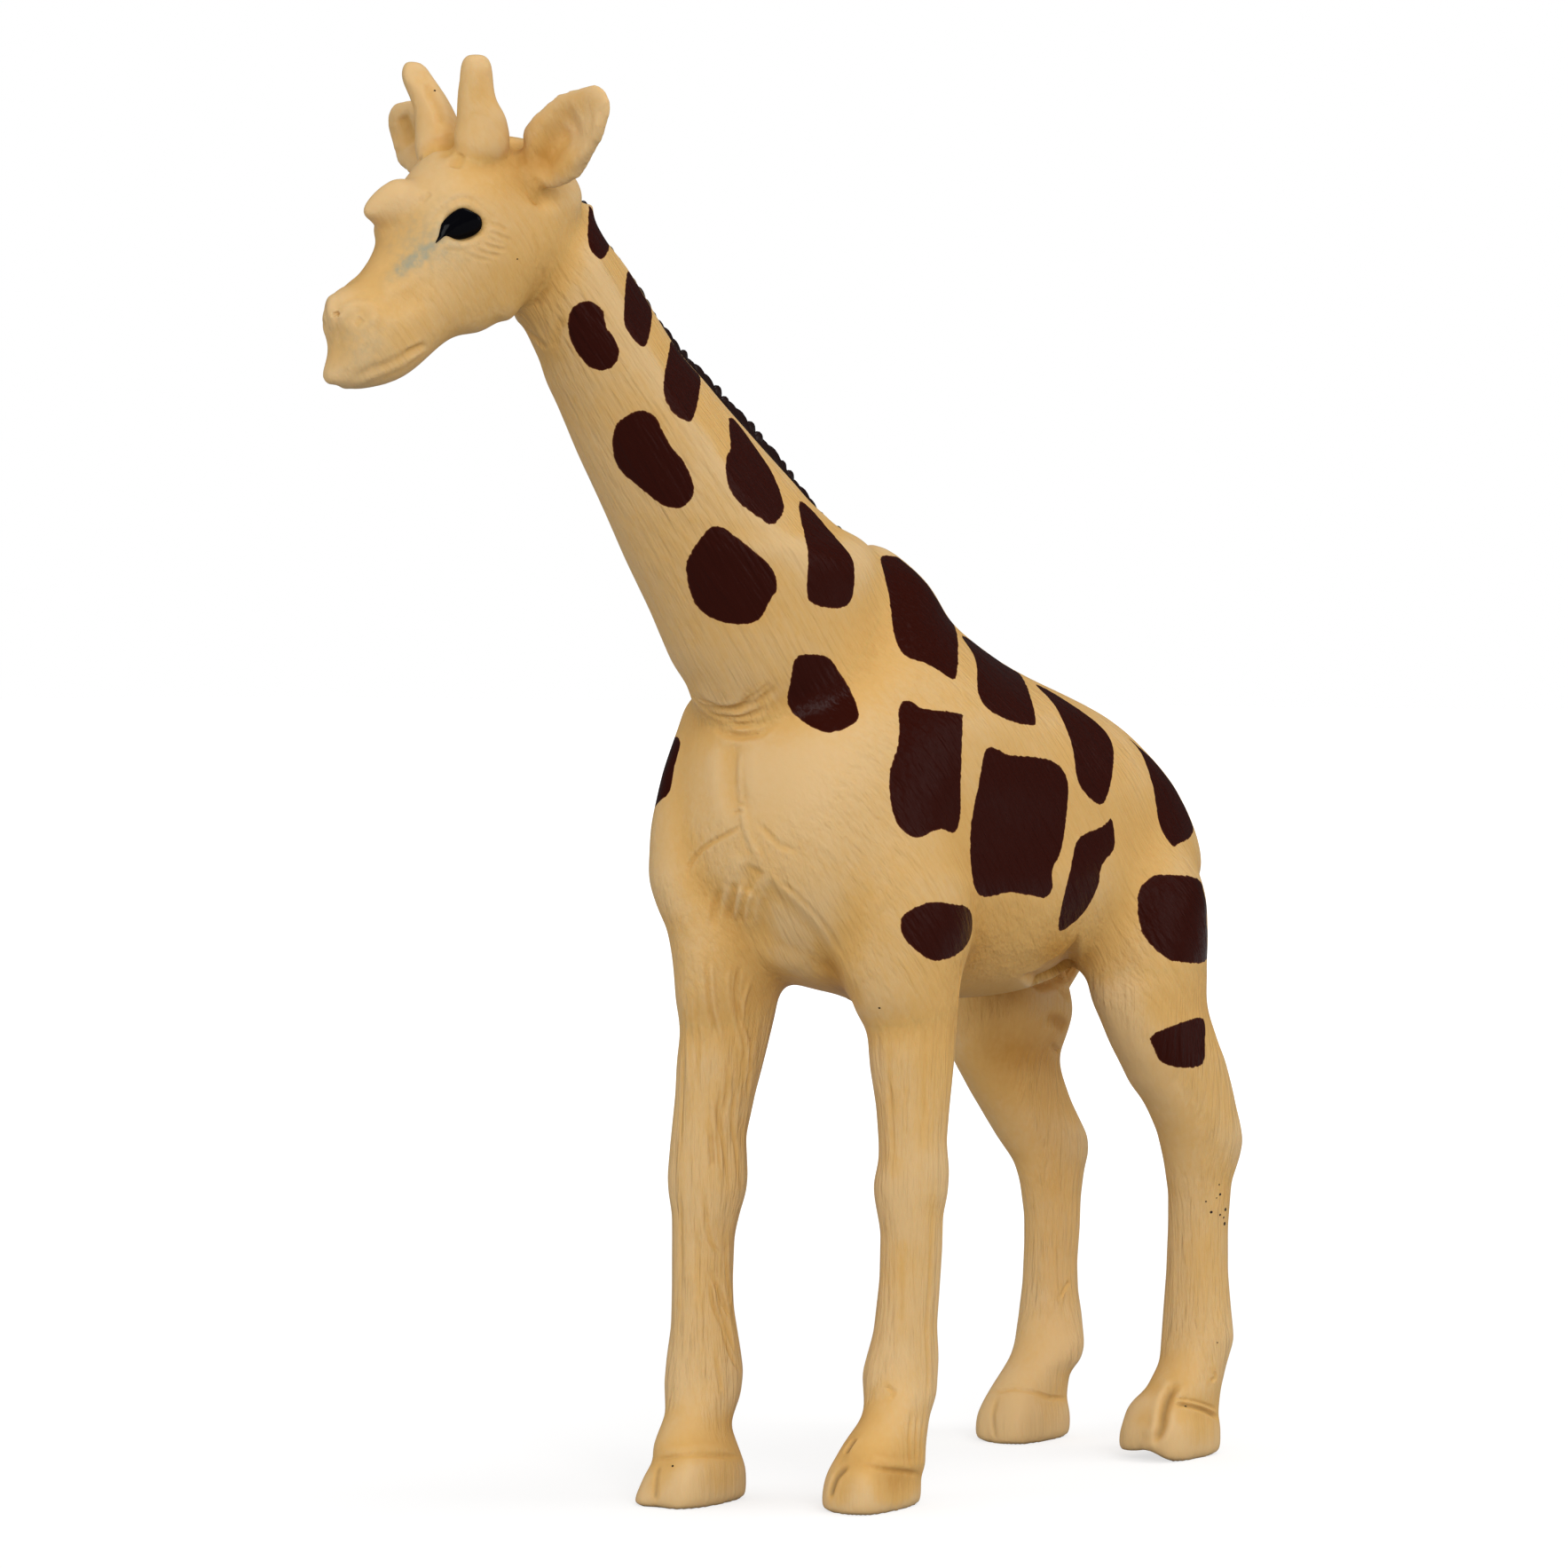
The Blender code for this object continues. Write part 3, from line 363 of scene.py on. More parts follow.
# Old dirt on the surface beside the clefts
DIRT_TRAILS = (
    (1.8, 0.02, ((966, 1612), (958, 1630), (950, 1650), (941, 1672))),
    (2.2, 0.02, ((1334, 1548), (1320, 1570), (1312, 1592), (1304, 1618))),
    (1.6, 0.02, ((736, 1690), (738, 1668), (743, 1648))),
    (1.6, 0.02, ((1116, 1570), (1124, 1592), (1122, 1618))),
)
GROIN_FOLDS = (
    (0.7, 0.12, ((1219, 1048), (1209, 1062), (1193, 1079), (1168, 1093))),
    (1.0, 0.30, ((1190, 1106), (1197, 1116), (1206, 1124))),
    (1.2, 0.35, ((1176, 1146), (1190, 1150), (1204, 1162))),
    (0.6, 0.20, ((1184, 1176), (1190, 1183), (1197, 1187))),
)
HEAD_FOLDS = (
    (0.8, 0.14, ((478, 389), (462, 397), (449, 404), (434, 411), (419, 416), (404, 423),
                 (392, 427))),
    (0.7, 0.24, ((480, 386), (474, 391), (466, 395), (456, 400))),
    (1.0, -0.12, ((474, 398), (449, 412), (422, 424), (398, 434))),
    (1.1, -0.30, ((391, 372), (386, 358), (398, 345), (413, 345), (421, 358), (414, 374))),
    (0.8, 0.20, ((399, 366), (404, 362), (408, 358))),
    (0.5, 0.30, ((380, 356), (383, 352))),
    (1.6, 0.16, ((426, 352), (452, 344), (478, 332))),
    (2.0, -0.25, ((425, 330), (455, 312), (486, 296))),
    (0.9, -0.30, ((490, 268), (494, 252), (507, 238), (523, 231), (539, 240), (549, 253))),
    (0.8, -0.25, ((497, 272), (514, 276), (532, 272), (546, 262))),
    (0.8, 0.14, ((488, 262), (494, 244), (508, 231), (524, 226), (542, 236))),
    (0.4, 0.10, ((551, 252), (562, 255), (572, 261))),
    (0.4, 0.10, ((549, 261), (562, 266), (577, 272))),
    (0.4, 0.08, ((547, 267), (560, 272), (571, 276))),
    (0.4, 0.10, ((543, 274), (556, 279), (572, 282))),
    (0.4, 0.08, ((533, 279), (548, 286), (566, 289))),
    (0.4, 0.07, ((520, 284), (538, 291), (556, 294))),
    (0.7, 0.16, ((617, 322), (610, 336), (600, 348))),
    (0.8, 0.18, ((635, 357), (628, 372), (624, 392))),
    (0.5, 0.10, ((600, 262), (606, 282), (604, 302))),
    (0.5, 0.10, ((610, 300), (612, 316), (606, 332))),
    (0.6, 0.16, ((474, 228), (480, 222), (486, 217))),
    (1.6, 0.35, ((501, 150), (506, 166), (510, 178))),
    (1.0, 0.30, ((520, 172), (516, 182), (512, 190))),
    (0.8, 0.30, ((480, 92), (486, 108), (494, 126), (500, 146))),
    (1.8, 0.40, ((574, 150), (582, 160), (588, 172))),
    (1.6, 0.30, ((598, 214), (612, 222), (632, 220))),
)
EAR_HOLLOWS = (
    (3.4, 0.80, ((600, 198), (614, 174), (630, 152), (644, 136), (652, 128))),
    (1.8, 0.55, ((604, 192), (612, 178), (624, 162), (638, 146))),
    (0.8, 0.35, ((604, 190), (610, 180), (617, 168))),
    (1.0, -0.25, ((640, 192), (660, 170), (672, 148), (677, 122))),
)
FAR_EAR_HOLLOWS = (
    (1.6, 0.50, ((452, 128), (458, 145), (462, 165))),
)
# All strokes: how much dirt and painted shade darken their grooves, and whether they are mirrored
# in the body's or the head's middle
STROKES = (
    (NECK_FOLDS, 0.1, "body"),
    (CHEST_FOLDS, 0.15, None),
    (LEG_LINES, 0.2, None),
    (HOOF_RIMS, 0.35, None),
    (HOOF_CLEFTS, 1.0, None),
    (DIRT_TRAILS, 0.45, None),
    (GROIN_FOLDS, 0.35, None),
    (HEAD_FOLDS, 0.2, "head"),
    (EAR_HOLLOWS, 0.0, "head"),
    (FAR_EAR_HOLLOWS, 0.0, None),
)
LIP_REACH = 1.25
LIP_WIDTH = 0.45
LIP_SHARE = 0.22
# Shares of a stroke's length over which it rises and falls
STROKE_TAPER = (-0.02, 0.22, 0.78, 1.02)
DENSE_STEPS = 4
DIRT_AND_SHADE_ROUNDS = 2

# Mane: shares of the neck's length where it starts and ends, and the sizes of its tufts
MANE_TOP_SHARE = 1.02
MANE_LOW_SHARE = 0.16
MANE_STEP = 0.80 * MM
MANE_CAST = 50 * MM
MANE_END_SIZE = 0.30
MANE_SWELL = 2.0
MANE_CROSS = math.radians(24)
MANE_SPREAD = 0.42 * MM
MANE_LENGTH = 2.10 * MM
MANE_WIDTH = 0.62 * MM
MANE_RISE = 1.35 * MM
MANE_UNEVENNESS = 0.18
MANE_BEAT = 2.4
MANE_STAND = 0.25
MANE_TAPER = 0.35

# Colours
CREAM_PALE = (0.640, 0.425, 0.195, 1)
CREAM_LIGHT = (0.620, 0.365, 0.115, 1)
CREAM_DEEP = (0.500, 0.250, 0.052, 1)
# Dark brown along the grooves: dirt in the hoof clefts and beside them, painted shade in the other
# folds
DIRT_AND_SHADE_COLOUR = (0.20, 0.13, 0.06, 1)
SMUDGE = (0.25, 0.28, 0.22, 1)
BROWN_THIN = (0.100, 0.024, 0.008, 1)
BROWN_THICK = (0.028, 0.0036, 0.0016, 1)
BROWN_DARK = (0.014, 0.0042, 0.0032, 1)
BLACK = (0.002, 0.002, 0.003, 1)
WHITE = (1, 1, 1, 1)

# Surfaces
VINYL_ROUGHNESS = 0.50
VINYL_SOFTNESS = 0.12
VINYL_SHINE = 0.20
VINYL_GLOW_COLOURS = (1.0, 0.45, 0.18)
VINYL_GLOW_DEPTH = 1.2 * MM
PAINT_ROUGHNESS = 0.22
PAINT_SHINE = 0.07
MANE_ROUGHNESS = 0.36
MANE_SHINE = 0.20
EYE_ROUGHNESS = 0.10
EYE_SHINE = 0.05

# Moulded hair: depth of its bump, then its noise as scale, stretch and detail, and its direction
FINE_GRAIN = 0.34 * MM
BROAD_GRAIN = 0.65 * MM
FINE_NOISE = (1900.0, 14.0, 4.0)
BROAD_NOISE = (700.0, 9.0, 2.0)
HAIR_ROUGHNESS = 0.6
FLANK_GRAIN = math.radians(40)
NECK_GRAIN = math.radians(44)
LEG_GRAIN = 0.0

# Wide blotches and fine raggedness in the colours: noise scale and detail
BLOTCH_NOISE = (90.0, 4.0)
RAGGED_NOISE = (1300.0, 3.0)

# How far hair and raggedness move the paint's edge, in millimetres, and where it turns full
PAINT_FRAY = 0.50
PAINT_RAGGEDNESS = 0.30
PAINT_EDGE = (0.0, 0.09)
PAINT_THICKENING = (0.02, 0.24)

# What deepens the cream, and the sums at which it turns from pale to light and to deep
BLOTCH_TONE = 0.70
BROAD_TONE = 0.20
FINE_TONE = 0.38
RAGGED_TONE = 0.3
FURROW_TONE = 0.10
FURROW_WIDTH = 0.03
TONE_OFFSET = 0.30
PALE_TO_LIGHT = (-0.50, 0.20)
LIGHT_TO_DEEP = (0.05, 1.00)
# Where the dirt and painted shade in the grooves turns full, and how much of the cream it covers
DIRT_AND_SHADE_RANGE = (0.12, 0.62)
DIRT_AND_SHADE_COVER = 0.65
SMUDGE_RANGE = (0.0, 0.34)
SMUDGE_COVER = 0.80

# Light: how far each lamp is ahead, right and above the figure, its width and its power
ROOM_LIGHT = 0.72
ROOM_SHEEN = 0.06
LAMPS = (
    ("key", (1.4, 0.30, 0.45), 0.8, 9.9),
    ("top", (0.0, 0.6, 1.2), 0.6, 3.0),
    ("right", (0.2, 1.2, 0.2), 0.7, 2.2),
    ("left", (0.6, -1.0, 0.1), 0.7, 3.2),
)

# Floor: its own glow rises to full white with the distance from the figure
FLOOR_SIZE = 6.0
FLOOR_COLOUR = (0.36, 0.36, 0.36, 1)
FLOOR_ROUGHNESS = 0.9
FLOOR_GLOW = 0.67
FLOOR_GLOW_REACH = (0.10, 0.60)

# Painted shade: how strongly the cream deepens in the hollows, where shade falls, close by and over
# a wider neighbourhood
NEAR_ROUNDS = 24
NEAR_SHADE_GAIN = 1.6
WIDE_ROUNDS = 160
WIDE_SHADE_GAIN = 0.30

# Partly the vinyl's own tone, partly painted light and shade: paler where light falls on chest,
# brow and muzzle, deeper where shade falls between the legs, under the belly and tail and in the
# ear's cup
# Areas where the cream is paler (below zero) or deeper, as pixels: column, row, radius, amount
TONE_AND_SHADING_AREAS = (
    (865, 870, 95, -0.35), (950, 890, 80, -0.15), (475, 205, 40, -0.45), (405, 385, 50, 0.25),
    (600, 400, 70, 0.30), (700, 500, 80, 0.12), (592, 312, 48, 0.20), (1120, 1175, 75, 0.70),
    (1200, 1078, 26, 1.10),
    (1196, 1150, 16, 0.60), (1350, 1450, 80, 0.25), (1120, 1080, 60, 0.15),
    (614, 176, 18, 0.70),
    (1190, 1330, 90, 0.15), (1340, 1260, 90, 0.15), (1090, 1060, 40, 0.20), (1345, 1600, 60, 0.25),
    (652, 146, 26, -0.70), (545, 90, 60, 0.20), (990, 1660, 60, 0.60), (780, 1660, 60, 0.35),
    (800, 820, 50, 0.10), (905, 1050, 45, -0.35), (1330, 1120, 60, 0.25),
)

# The bluish smudge below the left eye: where it starts and the way that it runs, as pixels; the
# middle, length and width of its streak, and its strength
SMUDGE_START = (486, 276)
SMUDGE_WAY = (0.77, 0.64)
SMUDGE_STREAK = (24, 32, 8, 0.75)
# Haze on cheek and muzzle, as pixels: column, row, half width, half height, strength
HAZES = ((498, 270, 70, 50, 0.55), (400, 385, 50, 50, 0.45))
SMUDGE_LOWEST = 120 * MM

# Small marks in the paint, as pixels: column, row, radius in millimetres
SPECKS = (
    (1374, 1335, 0.14), (1375, 1346, 0.22), (1359, 1354, 0.14), (1365, 1366, 0.22),
    (1381, 1363, 0.30), (1375, 1369, 0.20), (1379, 1372, 0.18), (1380, 1379, 0.30),
    (1371, 1350, 0.12), (991, 1136, 0.16), (758, 1652, 0.18), (1336, 1585, 0.20),
    (583, 292, 0.12), (490, 102, 0.14), (1372, 1513, 0.12),
)
SPECK_SHAPE = (1.0, 0.8, 0.12)

# Hooves: how square a hoof is seen from below, and how high that reaches up the leg
HOOF_SQUARENESS = 3.4
HOOF_HEIGHT = 9.0 * MM
HOOF_FULL_SHARE = 0.4
# Skin lower than this is laid flat on the ground
SOLE_DEPTH = 0.12 * MM

# Outlines of the coat patches on the left side, in pixels of the photograph
PATCHES = {
    "nape": ((659, 226), (663, 233), (662, 267), (667, 284), (676, 292), (683, 288), (688, 274),
             (684, 264), (670, 239)),
    "crest_high": ((709, 305), (705, 317), (703, 360), (709, 376), (722, 390), (730, 386),
                   (735, 357), (732, 343), (721, 320)),
    "throat_high": ((655, 340), (642, 351), (640, 374), (649, 396), (665, 414), (681, 418),
                    (694, 410), (698, 396), (690, 376), (684, 371), (680, 351), (669, 341)),
    "crest_middle": ((758, 379), (754, 393), (747, 438), (757, 463), (774, 475), (782, 469),
                     (789, 441), (788, 421), (774, 396)),
    "throat_middle": ((721, 462), (695, 477), (690, 503), (697, 528), (721, 550), (746, 569),
                      (766, 573), (780, 562), (782, 545), (771, 520), (757, 503), (746, 483),
                      (738, 469)),
    "crest_low": ((823, 469), (823, 503), (818, 517), (819, 542), (830, 564), (852, 581),
                  (869, 592), (881, 581), (883, 567), (872, 536), (852, 505)),
    "throat_low": ((809, 593), (796, 598), (775, 629), (774, 654), (784, 682), (804, 698),
                   (832, 704), (855, 699), (868, 677), (876, 662), (870, 639), (848, 619),
                   (822, 598)),
    "neck_root": ((901, 564), (910, 624), (909, 670), (919, 682), (944, 686), (958, 679),
                  (963, 657), (961, 631), (944, 608)),
    "withers": ((992, 628), (1003, 626), (1016, 630), (1041, 647), (1075, 703), (1080, 739),
                (1078, 761), (1072, 765), (1044, 748), (1021, 740), (1008, 718), (1002, 675),
                (996, 647)),
    "breast": ((906, 737), (895, 744), (891, 764), (887, 795), (904, 813), (924, 824),
               (937, 826), (957, 819), (968, 808), (961, 782), (947, 759), (932, 740)),
    "shoulder": ((1013, 797), (1024, 789), (1041, 798), (1082, 804), (1085, 815), (1083, 879),
                 (1082, 922), (1075, 939), (1059, 935), (1036, 944), (1021, 940), (1006, 917),
                 (1002, 874), (1012, 836)),
    "ribs": ((1111, 844), (1127, 845), (1135, 850), (1180, 855), (1199, 869), (1204, 894),
             (1197, 955), (1186, 980), (1186, 1000), (1176, 1012), (1140, 1006), (1101, 1007),
             (1093, 941), (1103, 882)),
    "back": ((1084, 716), (1099, 743), (1103, 784), (1123, 806), (1160, 818), (1167, 808),
             (1152, 763), (1123, 741)),
    "loin": ((1167, 771), (1189, 796), (1207, 837), (1215, 882), (1233, 904), (1244, 905),
             (1252, 882), (1255, 845), (1242, 820), (1205, 792)),
    "flank": ((1253, 923), (1242, 931), (1215, 945), (1207, 975), (1193, 1037), (1197, 1049),
              (1221, 1029), (1237, 1000), (1242, 975), (1256, 955)),
    "croup": ((1269, 829), (1286, 849), (1299, 886), (1307, 931), (1321, 953), (1329, 951),
              (1342, 943), (1343, 926), (1319, 877)),
    "thigh": ((1295, 990), (1311, 985), (1356, 994), (1360, 1041), (1361, 1082), (1327, 1084),
              (1307, 1075), (1286, 1049), (1282, 1008)),
    "gaskin": ((1297, 1167), (1334, 1151), (1356, 1148), (1358, 1176), (1357, 1196),
               (1348, 1203), (1324, 1203), (1307, 1196), (1300, 1181)),
    "elbow": ((1049, 1016), (1024, 1026), (1015, 1038), (1017, 1055), (1034, 1073),
              (1053, 1083), (1077, 1077), (1092, 1061), (1096, 1038), (1090, 1022),
              (1072, 1018)),
}
OUTLINE_STEPS = 5
PULL_IN_STEPS = 12
PULL_IN = 0.02
PATCH_FACING = 0.15
# How the far side's patches differ: columns and rows to go, and size
FAR_SHIFTS = {"breast": (44, 105, 1.0), "throat_high": (26, 4, 0.72),
              "throat_middle": (32, 8, 0.74), "throat_low": (30, -2, 0.72),
              "shoulder": (6, -10, 1.0), "ribs": (-8, 6, 1.0), "elbow": (8, 6, 0.9),
              "withers": (4, 6, 1.0), "croup": (-6, 8, 0.9), "thigh": (-6, -8, 1.0),
              "neck_root": (4, 2, 0.86)}
FAR_FROM_PAINT = -3.0
PATCH_MARGIN = 2 * MM

# Outline of the left eye, its tear duct included
EYE_OUTLINE = ((491, 274), (494, 266), (496, 258), (498, 251), (508, 241), (517, 235), (523, 234),
               (531, 238), (541, 244), (543, 255), (539, 262), (527, 268), (515, 270), (501, 267))
EYE_RISE = 0.55 * MM
EYE_SINK = 0.35 * MM
EYE_RINGS = 9


def chest_origin():
    """The place on the ground under the front of the chest, on the figure's middle plane."""
    low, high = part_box("torso")
    return Vector(((low[0] + high[0]) / 2, low[1] + CHEST_SETBACK, 0.0))


ORIGIN = chest_origin()


def make_camera():
    back = Vector(
        (
            math.sin(CAMERA_AZIMUTH) * math.cos(CAMERA_ELEVATION),
            -math.cos(CAMERA_AZIMUTH) * math.cos(CAMERA_ELEVATION),
            math.sin(CAMERA_ELEVATION),
        )
    )
    data = bpy.data.cameras.new("camera")
    data.sensor_width = SENSOR_WIDTH
    data.lens = CAMERA_FOCAL_PIXELS / IMAGE_SIZE * SENSOR_WIDTH
    data.clip_start, data.clip_end = CAMERA_RANGE
    camera = bpy.data.objects.new("camera", data)
    camera.location = ORIGIN + CAMERA_TARGET_FROM_CHEST + back * CAMERA_DISTANCE
    camera.rotation_euler = back.to_track_quat("Z", "Y").to_euler()
    bpy.context.scene.collection.objects.link(camera)
    bpy.context.scene.camera = camera
    return camera


class View:
    """The photograph's camera as plain numbers, to place details by their pixels."""

    def __init__(self, camera):
        turn = camera.rotation_euler.to_matrix()
        self.eye = camera.location.copy()
        self.right = turn @ Vector((1, 0, 0))
        self.up = turn @ Vector((0, 1, 0))
        self.ahead = turn @ Vector((0, 0, -1))

    def ray(self, u, v):
        middle = IMAGE_SIZE / 2
        way = self.ahead * CAMERA_FOCAL_PIXELS + self.right * (u - middle) - self.up * (v - middle)
        return way.normalized()

    def pixels(self, places):
        """Columns and rows in the photograph, and depths, of an array of places."""
        reach = places - np.array(self.eye)
        depth = reach @ np.array(self.ahead)
        middle = IMAGE_SIZE / 2
        columns = middle + CAMERA_FOCAL_PIXELS * (reach @ np.array(self.right)) / depth
        rows = middle - CAMERA_FOCAL_PIXELS * (reach @ np.array(self.up)) / depth
        return columns, rows, depth


class Skin:
    """The figure's outer skin as arrays, while it is sculpted."""

    def __init__(self, mesh):
        self.mesh = mesh
        count = len(mesh.vertices)
        flat = np.empty(count * 3)
        mesh.vertices.foreach_get("co", flat)
        self.points = flat.reshape(-1, 3)
        pairs = np.empty(len(mesh.edges) * 2, dtype=np.int64)
        mesh.edges.foreach_get("vertices", pairs)
        self.pairs = pairs.reshape(-1, 2)
        self.valence = np.bincount(self.pairs.ravel(), minlength=count).astype(float)

    def mean(self, values):
        """Each vertex's mean of its neighbours' values."""
        one, two = self.pairs.T
        columns = values.reshape(len(values), -1)
        total = np.empty_like(columns)
        for column in range(columns.shape[1]):
            line = columns[:, column]
            total[:, column] = np.bincount(one, line[two], len(line))
            total[:, column] += np.bincount(two, line[one], len(line))
        return (total / self.valence[:, None]).reshape(values.shape)

    def smooth(self, weights, rounds):
        for _ in range(rounds):
            self.points += (self.mean(self.points) - self.points) * weights[:, None]

    def smooth_part(self, weights, rounds):
        """Smooths only where the weights are above a hundredth."""
        inside = weights > 0.01
        one, two = self.pairs[inside[self.pairs].all(1)].T
        index = np.nonzero(inside)[0]
        place = np.full(len(weights), -1)
        place[index] = np.arange(len(index))
        one, two = place[one], place[two]
        count = len(index)
        near = np.maximum(np.bincount(one, minlength=count) + np.bincount(two, minlength=count), 1)
        points = self.points[index]
        for _ in range(rounds):
            total = np.empty_like(points)
            for axis in range(3):
                total[:, axis] = np.bincount(one, points[two, axis], count)
                total[:, axis] += np.bincount(two, points[one, axis], count)
            change = total / near[:, None] - points
            points += change * weights[index][:, None]
        self.points[index] = points

    def store(self):
        self.mesh.vertices.foreach_set("co", self.points.ravel())
        self.mesh.update()

    def normals(self):
        self.store()
        flat = np.empty(len(self.points) * 3)
        self.mesh.vertices.foreach_get("normal", flat)
        return flat.reshape(-1, 3)


# Sculpting: the skin is drawn to the photograph's forms and edges

def fade(values, start, end):
    """0 before start, 1 after end, and a smooth rise between."""
    share = np.clip((values - start) / (end - start), 0, 1)
    return share * share * (3 - 2 * share)


def band(values, start, full, fall, end):
    """1 from full to fall, with a smooth rise before and a smooth drop after."""
    return fade(values, start, full) * (1 - fade(values, fall, end))


def edge_rows(columns, rows, steps):
    """The least and the greatest column of the places in each row."""
    low = np.full(len(steps), np.nan)
    high = np.full(len(steps), np.nan)
    for index, step in enumerate(steps):
        inside = columns[np.abs(rows - step) <= EDGE_BIN]
        if len(inside):
            low[index] = inside.min()
            high[index] = inside.max()
    known = ~np.isnan(low)
    return np.interp(steps, steps[known], low[known]), np.interp(steps, steps[known], high[known])


def blurred(values, count):
    """A running mean over this many values, with the ends held."""
    padded = np.pad(values, count // 2, mode="edge")
    once = np.convolve(padded, np.ones(count) / count, "valid")
    padded = np.pad(once, count // 2, mode="edge")
    return np.convolve(padded, np.ones(count) / count, "valid")


def pull(skin, view, labels):
    """Moves the skin in the photograph's plane, as if pinched at each place of the table."""
    for nodes, places in PULLS:
        index = np.nonzero(np.isin(labels, nodes))[0]
        for column, row, across, down, radius in places:
            columns, rows, depth = view.pixels(skin.points[index])
            reach = np.hypot(columns - column, rows - row) / radius
            share = np.exp(-(reach**2)) * depth / CAMERA_FOCAL_PIXELS
            move = np.array(view.right) * across - np.array(view.up) * down
            skin.points[index] += share[:, None] * move[None]


def spread(skin, values):
    """The values with their steps softened over some rounds of neighbours."""
    values = np.array(values, float)
    for _ in range(SHARE_BLEND_ROUNDS):
        values = skin.mean(values)
    return values


def relax_tuft(skin, labels):
    """Evens out the skin where the tail's tuft touches the leg."""
    tuft = spread(skin, labels == "tail_tuft")
    leg = spread(skin, labels == "hind_leg_right")
    skin.smooth_part(2 * tuft * leg, SMOOTH_ROUNDS)


def blend(skin, view, labels):
    """Rounds off the steps where two forms meet."""
    columns, rows, _ = view.pixels(skin.points)
    solid = ~np.isin(labels, ("ear_left", "ear_right", "tail", "tail_tuft"))
    for column, row, radius, rounds in BLENDS:
        reach = np.hypot(columns - column, rows - row) / radius
        skin.smooth_part(np.exp(-(reach**2)) * 0.5 * solid, rounds)


def draw_crest(skin, view, labels):
    """Draws the back of the neck out in its own middle plane until it meets the photograph."""
    _, _, back = neck_line()
    right = EDGES["body"][3]
    chosen = np.nonzero(np.isin(labels, ("neck", "torso")))[0]
    steps = np.arange(right[0][0], CREST_ROWS[-1], ROW_STEP)
    wanted = np.interp(steps, *zip(*right))
    slope = np.gradient(wanted, steps)
    reach = view.right.dot(back) + slope * view.up.dot(back)
    for _ in range(CREST_ROUNDS):
        facing = skin.normals()[chosen] @ np.array(back)
        columns, rows, depth = view.pixels(skin.points[chosen])
        high = edge_rows(columns, rows, steps)[1]
        gap = blurred((wanted - high) / reach, EDGE_BLUR["torso"])
        inside = band(rows, *CREST_ROWS)
        shift = np.interp(rows, steps, gap) * depth / CAMERA_FOCAL_PIXELS * inside
        shift = np.clip(shift, -CREST_LIMIT, CREST_LIMIT) * fade(facing, *CREST_FACING)
        narrow = fade(facing, *CREST_SIDE_FACING) * CREST_NARROWING * inside
        skin.points[chosen] += shift[:, None] * np.array(back)[None]
        skin.points[chosen, 0] += (ORIGIN.x - skin.points[chosen, 0]) * narrow
        strength, rounds = CREST_SMOOTHING
        skin.smooth_part((labels == "neck") * strength, rounds)


def fit_edges(skin, view, labels):
    """Slides the skin sideways in the photograph's plane until its edges meet the table."""
    for nodes, fit_rows, left, right in EDGES.values():
        chosen = np.nonzero(np.isin(labels, nodes))[0]
        columns, rows, depth = view.pixels(skin.points[chosen])
        top = min(left[0][0], right[0][0])
        bottom = min(left[-1][0], right[-1][0])
        steps = np.arange(top, bottom + 1, ROW_STEP)
        low, high = edge_rows(columns, rows, steps)
        wanted_low = np.interp(steps, *zip(*left))
        wanted_high = np.interp(steps, *zip(*right))
        own_low, own_high = np.interp(rows, steps, low), np.interp(rows, steps, high)
        share = np.clip((columns - own_low) / (own_high - own_low), 0, 1)
        blur = EDGE_BLUR["torso" if "torso" in nodes else "leg"]
        shift = np.interp(rows, steps, blurred(wanted_low - low, blur)) * (1 - share)
        shift += np.interp(rows, steps, blurred(wanted_high - high, blur)) * share
        shift *= band(rows, *fit_rows)
        sideways = (shift * depth / CAMERA_FOCAL_PIXELS)[:, None] * np.array(view.right)
        skin.points[chosen] += sideways


def square_hooves(skin, labels):
    """Pushes the corners of each rounded hoof out, most at the sole."""
    for node in LEGS:
        chosen = np.nonzero((labels == node) & (skin.points[:, 2] < HOOF_HEIGHT))[0]
        places = skin.points[chosen]
        sole = places[places[:, 2] < MM]
        middle = (sole.min(0) + sole.max(0)) / 2
        half = (sole.max(0) - sole.min(0)) / 2
        flat = (places[:, :2] - middle[:2]) / half[:2]
        reach = np.linalg.norm(flat, axis=1) + TINY
        way = np.abs(flat / reach[:, None])
        power = HOOF_SQUARENESS
        push = 1 / (way**power).sum(1) ** (1 / power)
        share = 1 - fade(places[:, 2], HOOF_FULL_SHARE * HOOF_HEIGHT, HOOF_HEIGHT)
        share *= np.clip(reach, 0, 1)
        factor = 1 + (push - 1) * share
        skin.points[chosen, :2] = middle[:2] + (places[:, :2] - middle[:2]) * factor[:, None]


# The mouldings as one closed skin

def copy_of(node):
    """The node's mesh in a new bmesh, merged and swollen by the seam fill."""
    bm = bmesh.new()
    bm.from_mesh(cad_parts[node].data)
    bmesh.ops.remove_doubles(bm, verts=bm.verts, dist=MERGE)
    bm.normal_update()
    for vert in bm.verts:
        vert.co += vert.normal * SEAM_FILL
    return bm


def link(name, mesh):
    thing = bpy.data.objects.new(name, mesh)
    bpy.context.scene.collection.objects.link(thing)
    return thing


def evaluated_mesh(thing):
    bpy.context.view_layer.update()
    graph = bpy.context.evaluated_depsgraph_get()
    return bpy.data.meshes.new_from_object(thing.evaluated_get(graph), depsgraph=graph)


def add_ball(bm, place, radius):
    ball = bmesh.ops.create_icosphere(bm, subdivisions=2, radius=radius)["verts"]
    bmesh.ops.translate(bm, verts=ball, vec=place)


